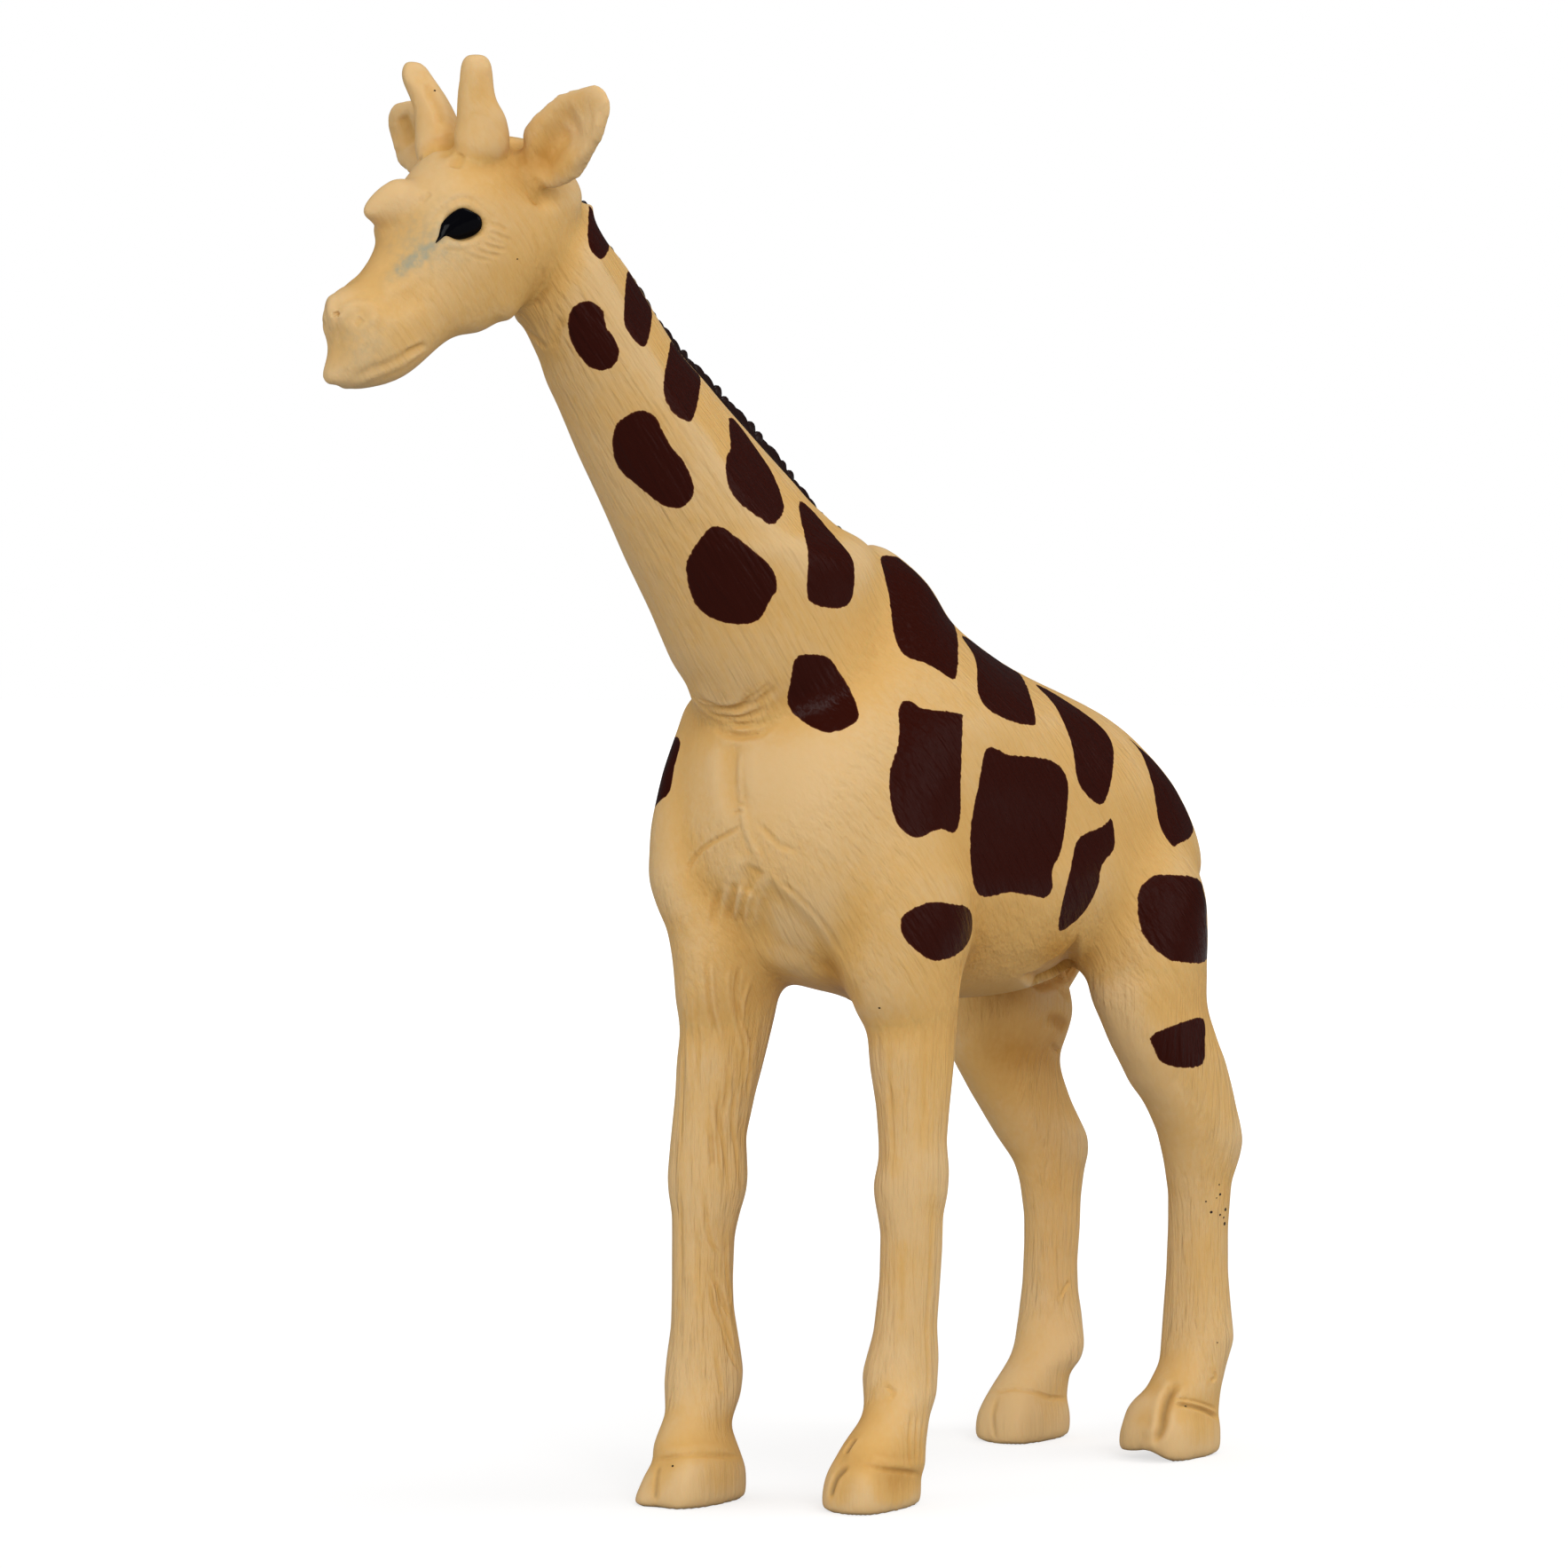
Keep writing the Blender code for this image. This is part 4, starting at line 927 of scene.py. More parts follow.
def joined_body():
    """All mouldings in one mesh, with the vent plugged and the tail joined to its tuft."""
    whole = bpy.data.meshes.new("mouldings")
    bm = bmesh.new()
    for node in SKIN_NODES:
        part = copy_of(node)
        part.to_mesh(whole)
        part.free()
        bm.from_mesh(whole)
    add_ball(bm, vent_place() + Vector((0, 0, VENT_PLUG_RADIUS)), VENT_PLUG_RADIUS)
    tail_end = min((vert.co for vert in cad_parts["tail"].data.vertices), key=lambda co: co.z)
    low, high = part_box("tail_tuft")
    tuft_middle = (Vector(low) + Vector(high)) / 2
    thin, thick = TAIL_BRIDGE_RADII
    for share in TAIL_BRIDGE_SHARES:
        radius = thin + (thick - thin) * max(share, 0)
        add_ball(bm, tail_end.lerp(tuft_middle, share), radius)
    bm.to_mesh(whole)
    bm.free()
    return whole


def vent_place():
    """Where the vent leaves the belly."""
    low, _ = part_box("torso")
    return Vector((ORIGIN.x, ORIGIN.y + VENT_FROM_CHEST, low[2] + VENT_HEIGHT))


def keep_largest(bm):
    """Deletes all but the largest group of joined faces."""
    bm.verts.ensure_lookup_table()
    seen = set()
    groups = []
    for start in bm.verts:
        if start in seen:
            continue
        group = [start]
        seen.add(start)
        for vert in group:
            for edge in vert.link_edges:
                other = edge.other_vert(vert)
                if other not in seen:
                    seen.add(other)
                    group.append(other)
        groups.append(group)
    groups.sort(key=len)
    spare = [vert for group in groups[:-1] for vert in group]
    bmesh.ops.delete(bm, geom=spare, context="VERTS")


def node_finder():
    """A search tree over all mouldings, and the node that each of its faces is from."""
    corners = []
    faces = []
    owners = []
    for node in SKIN_NODES:
        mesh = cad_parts[node].data
        start = len(corners)
        corners += [vert.co.copy() for vert in mesh.vertices]
        for face in mesh.polygons:
            faces.append([start + index for index in face.vertices])
            owners.append(node)
    return BVHTree.FromPolygons(corners, faces), owners


def make_skin():
    body = link("mouldings", joined_body())
    remesh = body.modifiers.new("Skin", "REMESH")
    remesh.mode = "VOXEL"
    remesh.voxel_size = SKIN_VOXEL
    remesh.adaptivity = 0.0
    mesh = evaluated_mesh(body)
    bpy.data.objects.remove(body)
    bm = bmesh.new()
    bm.from_mesh(mesh)
    keep_largest(bm)
    bm.to_mesh(mesh)
    bm.free()
    return mesh


# Curves in the photograph, and where they fall on the skin

def curve_point(a, b, c, d, share):
    """A place between b and c on the smooth curve through all four."""
    return (
        b
        + 0.5 * share * (c - a)
        + share * share * (a - 2.5 * b + 2 * c - 0.5 * d)
        + share * share * share * (1.5 * b - 0.5 * a - 1.5 * c + 0.5 * d)
    )


def curve_between(*four):
    return [curve_point(*four, step / OUTLINE_STEPS) for step in range(OUTLINE_STEPS)]


def smooth_outline(pixels):
    """A closed curve through the pixels, with some steps between each two."""
    points = [np.array(pixel, float) for pixel in pixels]
    count = len(points)
    curve = []
    for index in range(count):
        curve += curve_between(*(points[(index + shift) % count] for shift in (-1, 0, 1, 2)))
    return curve


def smooth_route(pixels):
    """A curve through the pixels from the first to the last."""
    route = [np.array(pixel, float) for pixel in pixels]
    route = [2 * route[0] - route[1]] + route + [2 * route[-1] - route[-2]]
    curve = []
    for four in zip(route, route[1:], route[2:], route[3:]):
        curve += curve_between(*four)
    return curve + [route[-2]]


class Caster:
    """Finds the places of the skin that the photograph's pixels show."""

    def __init__(self, view, mesh):
        self.view = view
        self.tree = BVHTree.FromPolygons(
            [vert.co for vert in mesh.vertices], [face.vertices[:] for face in mesh.polygons]
        )

    def hit(self, u, v):
        """The place and the normal of the skin at a pixel, or nothing twice beside the figure."""
        return self.tree.ray_cast(self.view.eye, self.view.ray(u, v))[:2]

    def outline(self, pixels):
        """Places and normals of the skin along an outline, pulled in where it misses the skin."""
        middle = np.mean(pixels, axis=0)
        places = []
        for pixel in pixels:
            for step in range(PULL_IN_STEPS):
                near = middle + (pixel - middle) * (1 - step * PULL_IN)
                place, normal = self.hit(*near)
                if place is not None:
                    places.append((place, normal))
                    break
        return places


def mirrored(place):
    return Vector((2 * ORIGIN.x - place.x, place.y, place.z))


# Paint patches, carved strokes and dents

def signed_distance(points, outline):
    """Distance of plane points to a closed outline, above zero inside it."""
    start = outline
    end = np.roll(outline, -1, axis=0)
    side = end - start
    reach = points[:, None, :] - start[None]
    along = (reach * side[None]).sum(2) / (side**2).sum(1)[None]
    nearest = reach - np.clip(along, 0, 1)[:, :, None] * side[None]
    distance = np.sqrt((nearest**2).sum(2)).min(1)
    above = start[None, :, 1] > points[:, None, 1]
    crosses = above != (end[None, :, 1] > points[:, None, 1])
    rise = np.where(side[:, 1] == 0, 1.0, side[:, 1])
    where = start[None, :, 0] + (points[:, None, 1] - start[None, :, 1]) * (side[:, 0] / rise)[None]
    inside = (crosses & (points[:, None, 0] < where)).sum(1) % 2 == 1
    return np.where(inside, distance, -distance)


def lay_patch(paint, skin, normals, places):
    """Raises the paint values inside an outline that lies on the skin."""
    facing = sum((normal for _, normal in places), Vector()).normalized()
    middle = sum((place for place, _ in places), Vector()) / len(places)
    across = facing.orthogonal().normalized()
    along = facing.cross(across)
    plane = np.array((across, along)).T
    outline = np.array([place for place, _ in places]) - np.array(middle)
    reach = np.abs(outline).max() * 2 + PATCH_MARGIN
    offset = skin.points - np.array(middle)
    near = (np.abs(offset).max(1) < reach) & (normals @ np.array(facing) > PATCH_FACING)
    index = np.nonzero(near)[0]
    values = signed_distance(offset[index] @ plane, outline @ plane) / MM
    paint[index] = np.maximum(paint[index], values)


def paint_patches(skin, caster, normals):
    paint = np.full(len(skin.points), FAR_FROM_PAINT)
    for name, pixels in PATCHES.items():
        places = caster.outline(smooth_outline(pixels))
        lay_patch(paint, skin, normals, places)
        across, down, size = FAR_SHIFTS.get(name, (0, 0, 1.0))
        centre = np.mean(pixels, axis=0)
        moved = (np.array(pixels) - centre) * size + centre + (across, down)
        far = [place for place, _ in caster.outline(smooth_outline(moved))]
        others = [caster.tree.find_nearest(mirrored(place))[:2] for place in far]
        lay_patch(paint, skin, normals, others)
    return paint


def nearest_on_route(points, route):
    """Distance of each point to the route, and how far along the route its nearest place is."""
    start = route[:-1]
    side = route[1:] - start
    length = np.linalg.norm(side, axis=1)
    before = np.concatenate(([0], np.cumsum(length)))
    reach = points[:, None, :] - start[None]
    along = (reach * side[None]).sum(2) / np.maximum(length**2, TINY**2)[None]
    along = np.clip(along, 0, 1)
    distance = np.linalg.norm(reach - along[:, :, None] * side[None], axis=2)
    best = distance.argmin(1)
    rows = np.arange(len(points))
    travelled = before[best] + along[rows, best] * length[best]
    return distance[rows, best], travelled / before[-1]


def carve(skin, normals, dirt_and_shade, route, radius, depth, dirt_and_shade_share):
    """Sinks or raises the skin along a route, with a soft lip on both sides of a groove, and
    darkens a groove's floor with dirt and painted shade.
    """
    margin = radius * (LIP_REACH + 2 * LIP_WIDTH)
    low = route.min(0) - margin
    high = route.max(0) + margin
    index = np.nonzero(((skin.points > low) & (skin.points < high)).all(1))[0]
    if len(index) == 0:
        return
    distance, share = nearest_on_route(skin.points[index], route)
    reach = distance / radius
    taper = band(share, *STROKE_TAPER)
    core = np.clip(1 - reach**2, 0, 1) ** 2
    lip = np.exp(-(((reach - LIP_REACH) / LIP_WIDTH) ** 2)) * LIP_SHARE
    amount = (core - lip * (depth > 0)) * taper * depth
    skin.points[index] -= normals[index] * amount[:, None]
    # A groove's floor darkens: dirt in the hoof clefts, painted shade in the other folds
    if depth > 0:
        dirt_and_shade[index] = np.maximum(dirt_and_shade[index], core * taper * dirt_and_shade_share)


def dent(skin, view, normals):
    """Sinks the skin inside each outline of the table, as the camera sees it."""
    columns, rows, depth = view.pixels(skin.points)
    facing = normals @ np.array(view.ahead) < 0
    for sink, edge, outline in DENTS:
        curve = np.array(smooth_outline(outline))
        low, high = curve.min(0), curve.max(0)
        near = (columns > low[0]) & (columns < high[0]) & (rows > low[1]) & (rows < high[1])
        index = np.nonzero(near & facing)[0]
        pixels = np.stack((columns[index], rows[index]), 1)
        inside = signed_distance(pixels, curve) * depth[index] / CAMERA_FOCAL_PIXELS / MM
        skin.points[index] -= normals[index] * (fade(inside, 0, edge) * sink * MM)[:, None]


def cast_routes(caster):
    """All strokes as routes on the skin: points, radius, depth and dirt."""
    cast = []
    for strokes, dirt_and_shade_share, mirror in STROKES:
        for radius, depth, pixels in strokes:
            hits = [caster.hit(*pixel)[0] for pixel in smooth_route(pixels)]
            places = [place for place in hits if place is not None]
            sides = [places]
            if mirror:
                other = head_mirrored if mirror == "head" else mirrored
                sides.append([caster.tree.find_nearest(other(place))[0] for place in places])
            for side in sides:
                if len(side) > 1:
                    cast.append((np.array(side), radius * MM, depth * MM, dirt_and_shade_share))
    return cast


def finer_near(mesh, routes, widest, reach):
    """The mesh with each face near one of the narrow routes cut in four."""
    spots = [(point, radius) for route, radius, _, _ in routes if radius < widest
             for point in dense(route)]
    tree = KDTree(len(spots))
    for index, (point, _) in enumerate(spots):
        tree.insert(point, index)
    tree.balance()
    bm = bmesh.new()
    bm.from_mesh(mesh)
    edges = set()
    for face in bm.faces:
        _, index, distance = tree.find(face.calc_center_median())
        if distance < spots[index][1] * reach:
            edges.update(face.edges)
    bmesh.ops.subdivide_edges(bm, edges=list(edges), cuts=1, use_grid_fill=True)
    bm.to_mesh(mesh)
    bm.free()


def dense(route):
    """The route's points with some between each two."""
    points = []
    for one, two in zip(route, route[1:]):
        points += [one + (two - one) * step / DENSE_STEPS for step in range(DENSE_STEPS)]
    return points + [route[-1]]


# What the skin tells its finish, and how it is cut into pieces

def hollows(skin, normals, rounds):
    """How hollow the skin is at each place, in millimetres over a neighbourhood."""
    around = skin.points
    for _ in range(rounds):
        around = skin.mean(around)
    return ((around - skin.points) * normals).sum(1) / MM


def store_values(mesh, name, values):
    layer = mesh.attributes.new(name, "FLOAT", "POINT")
    layer.data.foreach_set("value", values)


def read_values(mesh, name):
    values = np.empty(len(mesh.vertices))
    mesh.attributes[name].data.foreach_get("value", values)
    return values


def store_vectors(mesh, name, values):
    layer = mesh.attributes.new(name, "FLOAT_VECTOR", "POINT")
    layer.data.foreach_set("vector", values.ravel())


def refined(mesh, labels):
    """The mesh with finer faces on the nodes of the head, and each face's node."""
    bm = bmesh.new()
    bm.from_mesh(mesh)
    layer = bm.faces.layers.int.new("node")
    edges = set()
    for face in bm.faces:
        node = labels[face.verts[0].index]
        face[layer] = SKIN_NODES.index(node)
        if node in HEAD_NODES:
            edges.update(face.edges)
    bmesh.ops.subdivide_edges(bm, edges=list(edges), cuts=1, use_grid_fill=True)
    finer = bpy.data.meshes.new("skin")
    bm.to_mesh(finer)
    bm.free()
    return finer


def face_nodes(mesh):
    flat = np.empty(len(mesh.polygons), dtype=np.int32)
    mesh.attributes["node"].data.foreach_get("value", flat)
    return [SKIN_NODES[index] for index in flat]


def cut_out(mesh, owners, node):
    """The faces of one moulding as a closed mesh of its own, shaded as the whole skin is."""
    bm = bmesh.new()
    bm.from_mesh(mesh)
    bm.faces.ensure_lookup_table()
    others = [face for face, owner in zip(bm.faces, owners) if owner != node]
    bmesh.ops.delete(bm, geom=others, context="FACES")
    bm.normal_update()
    rim = [edge for edge in bm.edges if edge.is_boundary]
    before = set(bm.verts)
    facing = {vert: vert.normal.copy() for edge in rim for vert in edge.verts}
    made = bmesh.ops.extrude_edge_only(bm, edges=rim)["geom"]
    inner = [item for item in made if isinstance(item, bmesh.types.BMEdge)]
    for vert in [item for item in made if isinstance(item, bmesh.types.BMVert)]:
        outer = [edge.other_vert(vert) for edge in vert.link_edges]
        vert.co -= next(facing[other] for other in outer if other in before) * SEAM_SINK
    caps = bmesh.ops.holes_fill(bm, edges=inner, sides=0)["faces"]
    bmesh.ops.poke(bm, faces=caps)
    own = bpy.data.meshes.new(node + "_skin")
    bm.to_mesh(own)
    bm.free()
    own.shade_smooth()
    normals = np.empty(len(own.vertices) * 3)
    own.attributes["skin_normal"].data.foreach_get("vector", normals)
    own.normals_split_custom_set_from_vertices(normals.reshape(-1, 3))
    return own


def finish_piece(piece, slot, *nodes):
    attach(piece, "root")
    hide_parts(*nodes)


def nodes_replaced(node):
    """The moulding's own node and those of the paint films on it."""
    films = {"torso": "trunk_patch", "neck": "neck_patch", "hind_leg_left": "thigh_patch_left",
             "hind_leg_right": "thigh_patch_right"}
    names = [node]
    if node in films:
        names += [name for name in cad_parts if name.startswith(films[node])]
    return names


# Mane, specks and eyes

def neck_line():
    """The neck's root and crown in its middle plane, and the way its back faces."""
    low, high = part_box("neck")
    length = high[1] - low[1]
    root = Vector((ORIGIN.x, high[1] - NECK_ROOT_SHARE * length, low[2]))
    crown = Vector((ORIGIN.x, low[1] + NECK_CROWN_SHARE * length, high[2]))
    rise = (crown - root).normalized()
    back = Vector((0, rise.z, -rise.y))
    return root, crown, back


def smooth_piece(name, bm, finish):
    """The bmesh as an object of this name, smoothly shaded and with one material."""
    mesh = bpy.data.meshes.new(name)
    bm.to_mesh(mesh)
    bm.free()
    mesh.shade_smooth()
    mesh.materials.append(finish)
    return link(name, mesh)


def make_mane(caster, finish):
    """Two rows of stiff tufts that cross like a plait down the back of the neck."""
    root, crown, back = neck_line()
    length = (crown - root).length
    rise = (crown - root).normalized()
    count = int(length * (MANE_TOP_SHARE - MANE_LOW_SHARE) / MANE_STEP)
    bm = bmesh.new()
    for index in range(count):
        along = root + rise * (MANE_TOP_SHARE * length - index * MANE_STEP)
        place = caster.tree.ray_cast(along + back * MANE_CAST, -back)[0]
        if place is None:
            continue
        part = index / (count - 1)
        size = MANE_END_SIZE + (1 - MANE_END_SIZE) * math.sin(math.pi * part**MANE_SWELL)
        size *= 1 + MANE_UNEVENNESS * math.sin(MANE_BEAT * index)
        side = 1 if index % 2 else -1
        lean = side * Vector((1, 0, 0)) * math.sin(MANE_CROSS) - rise * math.cos(MANE_CROSS)
        across = lean.cross(back).normalized()
        long, wide, high = (share * size for share in (MANE_LENGTH, MANE_WIDTH, MANE_RISE))
        middle = place + Vector((1, 0, 0)) * side * MANE_SPREAD + back * high * MANE_STAND
        tuft = bmesh.ops.create_icosphere(bm, subdivisions=3, radius=1)["verts"]
        for vert in tuft:
            far, broad, up = vert.co
            taper = 1 - MANE_TAPER * far
            vert.co = middle + lean * far * long
            vert.co += (across * broad * wide + back * up * high) * taper
    finish_piece(smooth_piece("mane_tufts", bm, finish), "brown_paint", "mane")


def make_specks(caster, finish):
    """Small flat drops of the brown paint that fell beside the patches."""
    bm = bmesh.new()
    for column, row, radius in SPECKS:
        place, normal = caster.hit(column, row)
        if place is None:
            continue
        turn = normal.to_track_quat("Z", "Y").to_matrix().to_4x4()
        drop = bmesh.ops.create_icosphere(bm, subdivisions=2, radius=1)["verts"]
        squash = Matrix.Diagonal([radius * MM * share for share in SPECK_SHAPE] + [1])
        bmesh.ops.transform(bm, matrix=Matrix.Translation(place) @ turn @ squash, verts=drop)
    specks = smooth_piece("paint_specks", bm, finish)
    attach(specks, "root")


def make_eye(side, rim, facing, finish):
    """A dome over the rim, bent as the skin is there."""
    middle = sum(rim, Vector()) / len(rim)
    across = facing.orthogonal().normalized()
    along = facing.cross(across)
    offsets = [place - middle for place in rim]
    flat = np.array([(offset.dot(across), offset.dot(along)) for offset in offsets])
    rise = np.array([offset.dot(facing) for offset in offsets])
    bend = np.linalg.lstsq(curve_terms(flat), rise, rcond=None)[0]

    def lay_ring(verts, share, height):
        shrunk = flat * share
        for vert, (x, y), bent in zip(verts, shrunk, curve_terms(shrunk) @ bend):
            vert.co = middle + across * x + along * y + facing * (bent + height)

    bm = bmesh.new()
    ring = bmesh.ops.create_circle(bm, segments=len(rim), radius=1)["verts"]
    lay_ring(ring, 1, -EYE_SINK)
    edges = list(bm.edges)
    bmesh.ops.contextual_create(bm, geom=edges)
    for index in range(EYE_RINGS):
        turn = 0.5 * math.pi * index / EYE_RINGS
        made = bmesh.ops.extrude_edge_only(bm, edges=edges)["geom"]
        edges = [item for item in made if isinstance(item, bmesh.types.BMEdge)]
        verts = [item for item in made if isinstance(item, bmesh.types.BMVert)]
        lay_ring(verts, math.cos(turn), EYE_RISE * math.sin(turn))
    cap = bmesh.ops.contextual_create(bm, geom=edges)["faces"]
    crown = bmesh.ops.poke(bm, faces=cap)["verts"][0]
    crown.co = middle + facing * (bend[0] + EYE_RISE)
    bmesh.ops.recalc_face_normals(bm, faces=bm.faces)
    eye = smooth_piece("eye_" + side + "_gloss", bm, finish)
    finish_piece(eye, "black_paint", "eye_" + side)


def make_eyes(caster, finish):
    """A gloss dome in each eye outline, its rim sunk in the skin."""
    outline = caster.outline(smooth_outline(EYE_OUTLINE))
    rim = [place for place, _ in outline]
    facing = sum((normal for _, normal in outline), Vector()).normalized()
    make_eye("left", rim, facing, finish)
    far_rim = [head_mirrored(place) for place in reversed(rim)]
    make_eye("right", far_rim, head_mirrored(facing) - head_mirrored(Vector()), finish)


def curve_terms(flat):
    """The terms of a bent surface over plane points: flat, tilted and curved."""
    x, y = flat.T
    return np.stack((np.ones(len(x)), x, y, x * x, x * y, y * y), 1)


def head_mirrored(place):
    """The place mirrored in the middle plane of the turned head."""
    low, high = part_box("ossicone_left")
    far_low, far_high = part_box("ossicone_right")
    left = (Vector(low) + Vector(high)) / 2
    right = (Vector(far_low) + Vector(far_high)) / 2
    across = (left - right).normalized()
    middle = (left + right) / 2
    return place - across * 2 * (place - middle).dot(across)


# Finishes

def node_of(tree, kind, **values):
    """A new shader node, with its inputs or its settings given by name."""
    made = tree.nodes.new(kind)
    for key, value in values.items():
        if key in made.inputs:
            made.inputs[key].default_value = value
        else:
            setattr(made, key, value)
    return made


def feed(tree, socket, value):
    """Gives a socket a plain value, or a link where the value is another node's output."""
    if isinstance(value, bpy.types.NodeSocket):
        tree.links.new(value, socket)
    else:
        socket.default_value = value


def attribute(tree, name):
    return node_of(tree, "ShaderNodeAttribute", attribute_name=name).outputs["Fac"]


def calculated(tree, operation, *values):
    made = node_of(tree, "ShaderNodeMath", operation=operation)
    for socket, value in zip(made.inputs, values):
        feed(tree, socket, value)
    return made.outputs[0]


def about_zero(tree, value, gain):
    """A value that lies about a half, moved to lie about zero and multiplied by the gain."""
    return calculated(tree, "MULTIPLY_ADD", value, gain, -gain / 2)


def ranged(tree, value, limits, first, last):
    """A smooth change from first to last while the value goes through the limits."""
    made = node_of(tree, "ShaderNodeMapRange", interpolation_type="SMOOTHSTEP")
    tree.links.new(value, made.inputs["Value"])
    made.inputs["From Min"].default_value, made.inputs["From Max"].default_value = limits
    made.inputs["To Min"].default_value = first
    made.inputs["To Max"].default_value = last
    return made.outputs["Result"]


def mixed(tree, kind, factor, one, two):
    """Two numbers, or two colours, mixed by the factor."""
    made = node_of(tree, "ShaderNodeMix", data_type=kind)
    feed(tree, made.inputs["Factor"], factor)
    first, second = [socket for socket in made.inputs if socket.enabled][-2:]
    feed(tree, first, one)
    feed(tree, second, two)
    return next(socket for socket in made.outputs if socket.enabled)


def noise(tree, where, scale, detail):
    made = node_of(tree, "ShaderNodeTexNoise", Scale=scale, Detail=detail)
    tree.links.new(where, made.inputs["Vector"])
    return made.outputs["Fac"]


def stretched_noise(tree, where, turn, scale, stretch, detail):
    """Noise drawn out along a direction that is turned about the figure's cross axis."""
    way = node_of(tree, "ShaderNodeMapping", vector_type="TEXTURE")
    way.inputs["Rotation"].default_value = (turn, 0, 0)
    way.inputs["Scale"].default_value = (1, 1, stretch)
    tree.links.new(where, way.inputs["Vector"])
    made = node_of(
        tree, "ShaderNodeTexNoise", Scale=scale, Detail=detail, Roughness=HAIR_ROUGHNESS
    )
    tree.links.new(way.outputs["Vector"], made.inputs["Vector"])
    return made.outputs["Fac"]


def hair_group():
    """Moulded hair: fine and broad furrows that follow the neck, the flank or the legs."""
    group = bpy.data.node_groups.new("moulded_hair", "ShaderNodeTree")
    for name in ("Fine", "Broad"):
        group.interface.new_socket(name, in_out="OUTPUT", socket_type="NodeSocketFloat")
    out = group.nodes.new("NodeGroupOutput")
    where = node_of(group, "ShaderNodeTexCoord").outputs["Object"]
    on_neck = attribute(group, "on_neck")
    on_legs = attribute(group, "on_legs")
    hair = attribute(group, "hair")
    for socket, size in zip(out.inputs, (FINE_NOISE, BROAD_NOISE)):
        flank = stretched_noise(group, where, FLANK_GRAIN, *size)
        neck = stretched_noise(group, where, NECK_GRAIN, *size)
        legs = stretched_noise(group, where, LEG_GRAIN, *size)
        body = mixed(group, "FLOAT", on_neck, flank, neck)
        whole = mixed(group, "FLOAT", on_legs, body, legs)
        centred = calculated(group, "SUBTRACT", whole, 0.5)
        softened = calculated(group, "MULTIPLY_ADD", centred, hair, 0.5)
        group.links.new(softened, socket)
    return group


def cream_tone(tree, fine, broad, blotch, ragged):
    """How deep the cream is: blotches and hair, then painted shade in the hollows, and the tinted
    areas of own tone, painted light and painted shade.
    """
    mottle = about_zero(tree, blotch, BLOTCH_TONE)
    wide = calculated(tree, "MULTIPLY_ADD", broad, BROAD_TONE, mottle)
    beside = calculated(tree, "ABSOLUTE", calculated(tree, "SUBTRACT", broad, 0.5))
    furrow = ranged(tree, beside, (0.0, FURROW_WIDTH), FURROW_TONE, 0.0)
    grooved = calculated(tree, "ADD", wide, furrow)
    lines = calculated(tree, "MULTIPLY_ADD", fine, FINE_TONE, grooved)
    speckle = calculated(tree, "MULTIPLY_ADD", ragged, RAGGED_TONE, lines)
    # Painted shade in the hollows
    shaded_in_hollows = calculated(tree, "ADD", speckle, attribute(tree, "hollow_shade"))
    # Own tone with painted light and painted shade from the tinted areas
    toned_and_shaded = calculated(tree, "ADD", shaded_in_hollows, attribute(tree, "tone_and_shading"))
    return calculated(tree, "SUBTRACT", toned_and_shaded, TONE_OFFSET)


def cream_colour(tree, tone):
    pale = ranged(tree, tone, PALE_TO_LIGHT, 0.0, 1.0)
    deep = ranged(tree, tone, LIGHT_TO_DEEP, 0.0, 1.0)
    middling = mixed(tree, "RGBA", pale, CREAM_PALE, CREAM_LIGHT)
    return mixed(tree, "RGBA", deep, middling, CREAM_DEEP)


def dirty_and_shaded_cream(tree, cream, blotch, ragged):
    """The cream with dirt and painted shade in its strokes and a haze where it is smudged."""
    dirt_and_shade = calculated(tree, "MULTIPLY", attribute(tree, "dirt_and_shade"), blotch)
    darkened = ranged(tree, dirt_and_shade, DIRT_AND_SHADE_RANGE, 0.0, DIRT_AND_SHADE_COVER)
    dirty_and_shaded = mixed(tree, "RGBA", darkened, cream, DIRT_AND_SHADE_COLOUR)
    mottled = calculated(tree, "MULTIPLY", blotch, ragged)
    dusted = calculated(tree, "MULTIPLY", attribute(tree, "smudge"), mottled)
    hazy = ranged(tree, dusted, SMUDGE_RANGE, 0.0, SMUDGE_COVER)
    return mixed(tree, "RGBA", hazy, dirty_and_shaded, SMUDGE)


def paint_depth(tree, fine, ragged):
    """How far inside the paint's frayed edge a place lies, in millimetres."""
    frayed = about_zero(tree, fine, PAINT_FRAY)
    wobble = about_zero(tree, ragged, PAINT_RAGGEDNESS)
    edge = calculated(tree, "ADD", frayed, wobble)
    return calculated(tree, "ADD", attribute(tree, "paint"), edge)


def hair_bump(tree, fine, broad):
    small = node_of(tree, "ShaderNodeBump", Strength=1.0, Distance=FINE_GRAIN)
    large = node_of(tree, "ShaderNodeBump", Strength=1.0, Distance=BROAD_GRAIN)
    tree.links.new(fine, small.inputs["Height"])
    tree.links.new(broad, large.inputs["Height"])
    tree.links.new(small.outputs["Normal"], large.inputs["Normal"])
    return large.outputs["Normal"]


def new_material(name):
    made = bpy.data.materials.new(name)
    made.use_nodes = True
    return made, made.node_tree, made.node_tree.nodes["Principled BSDF"]


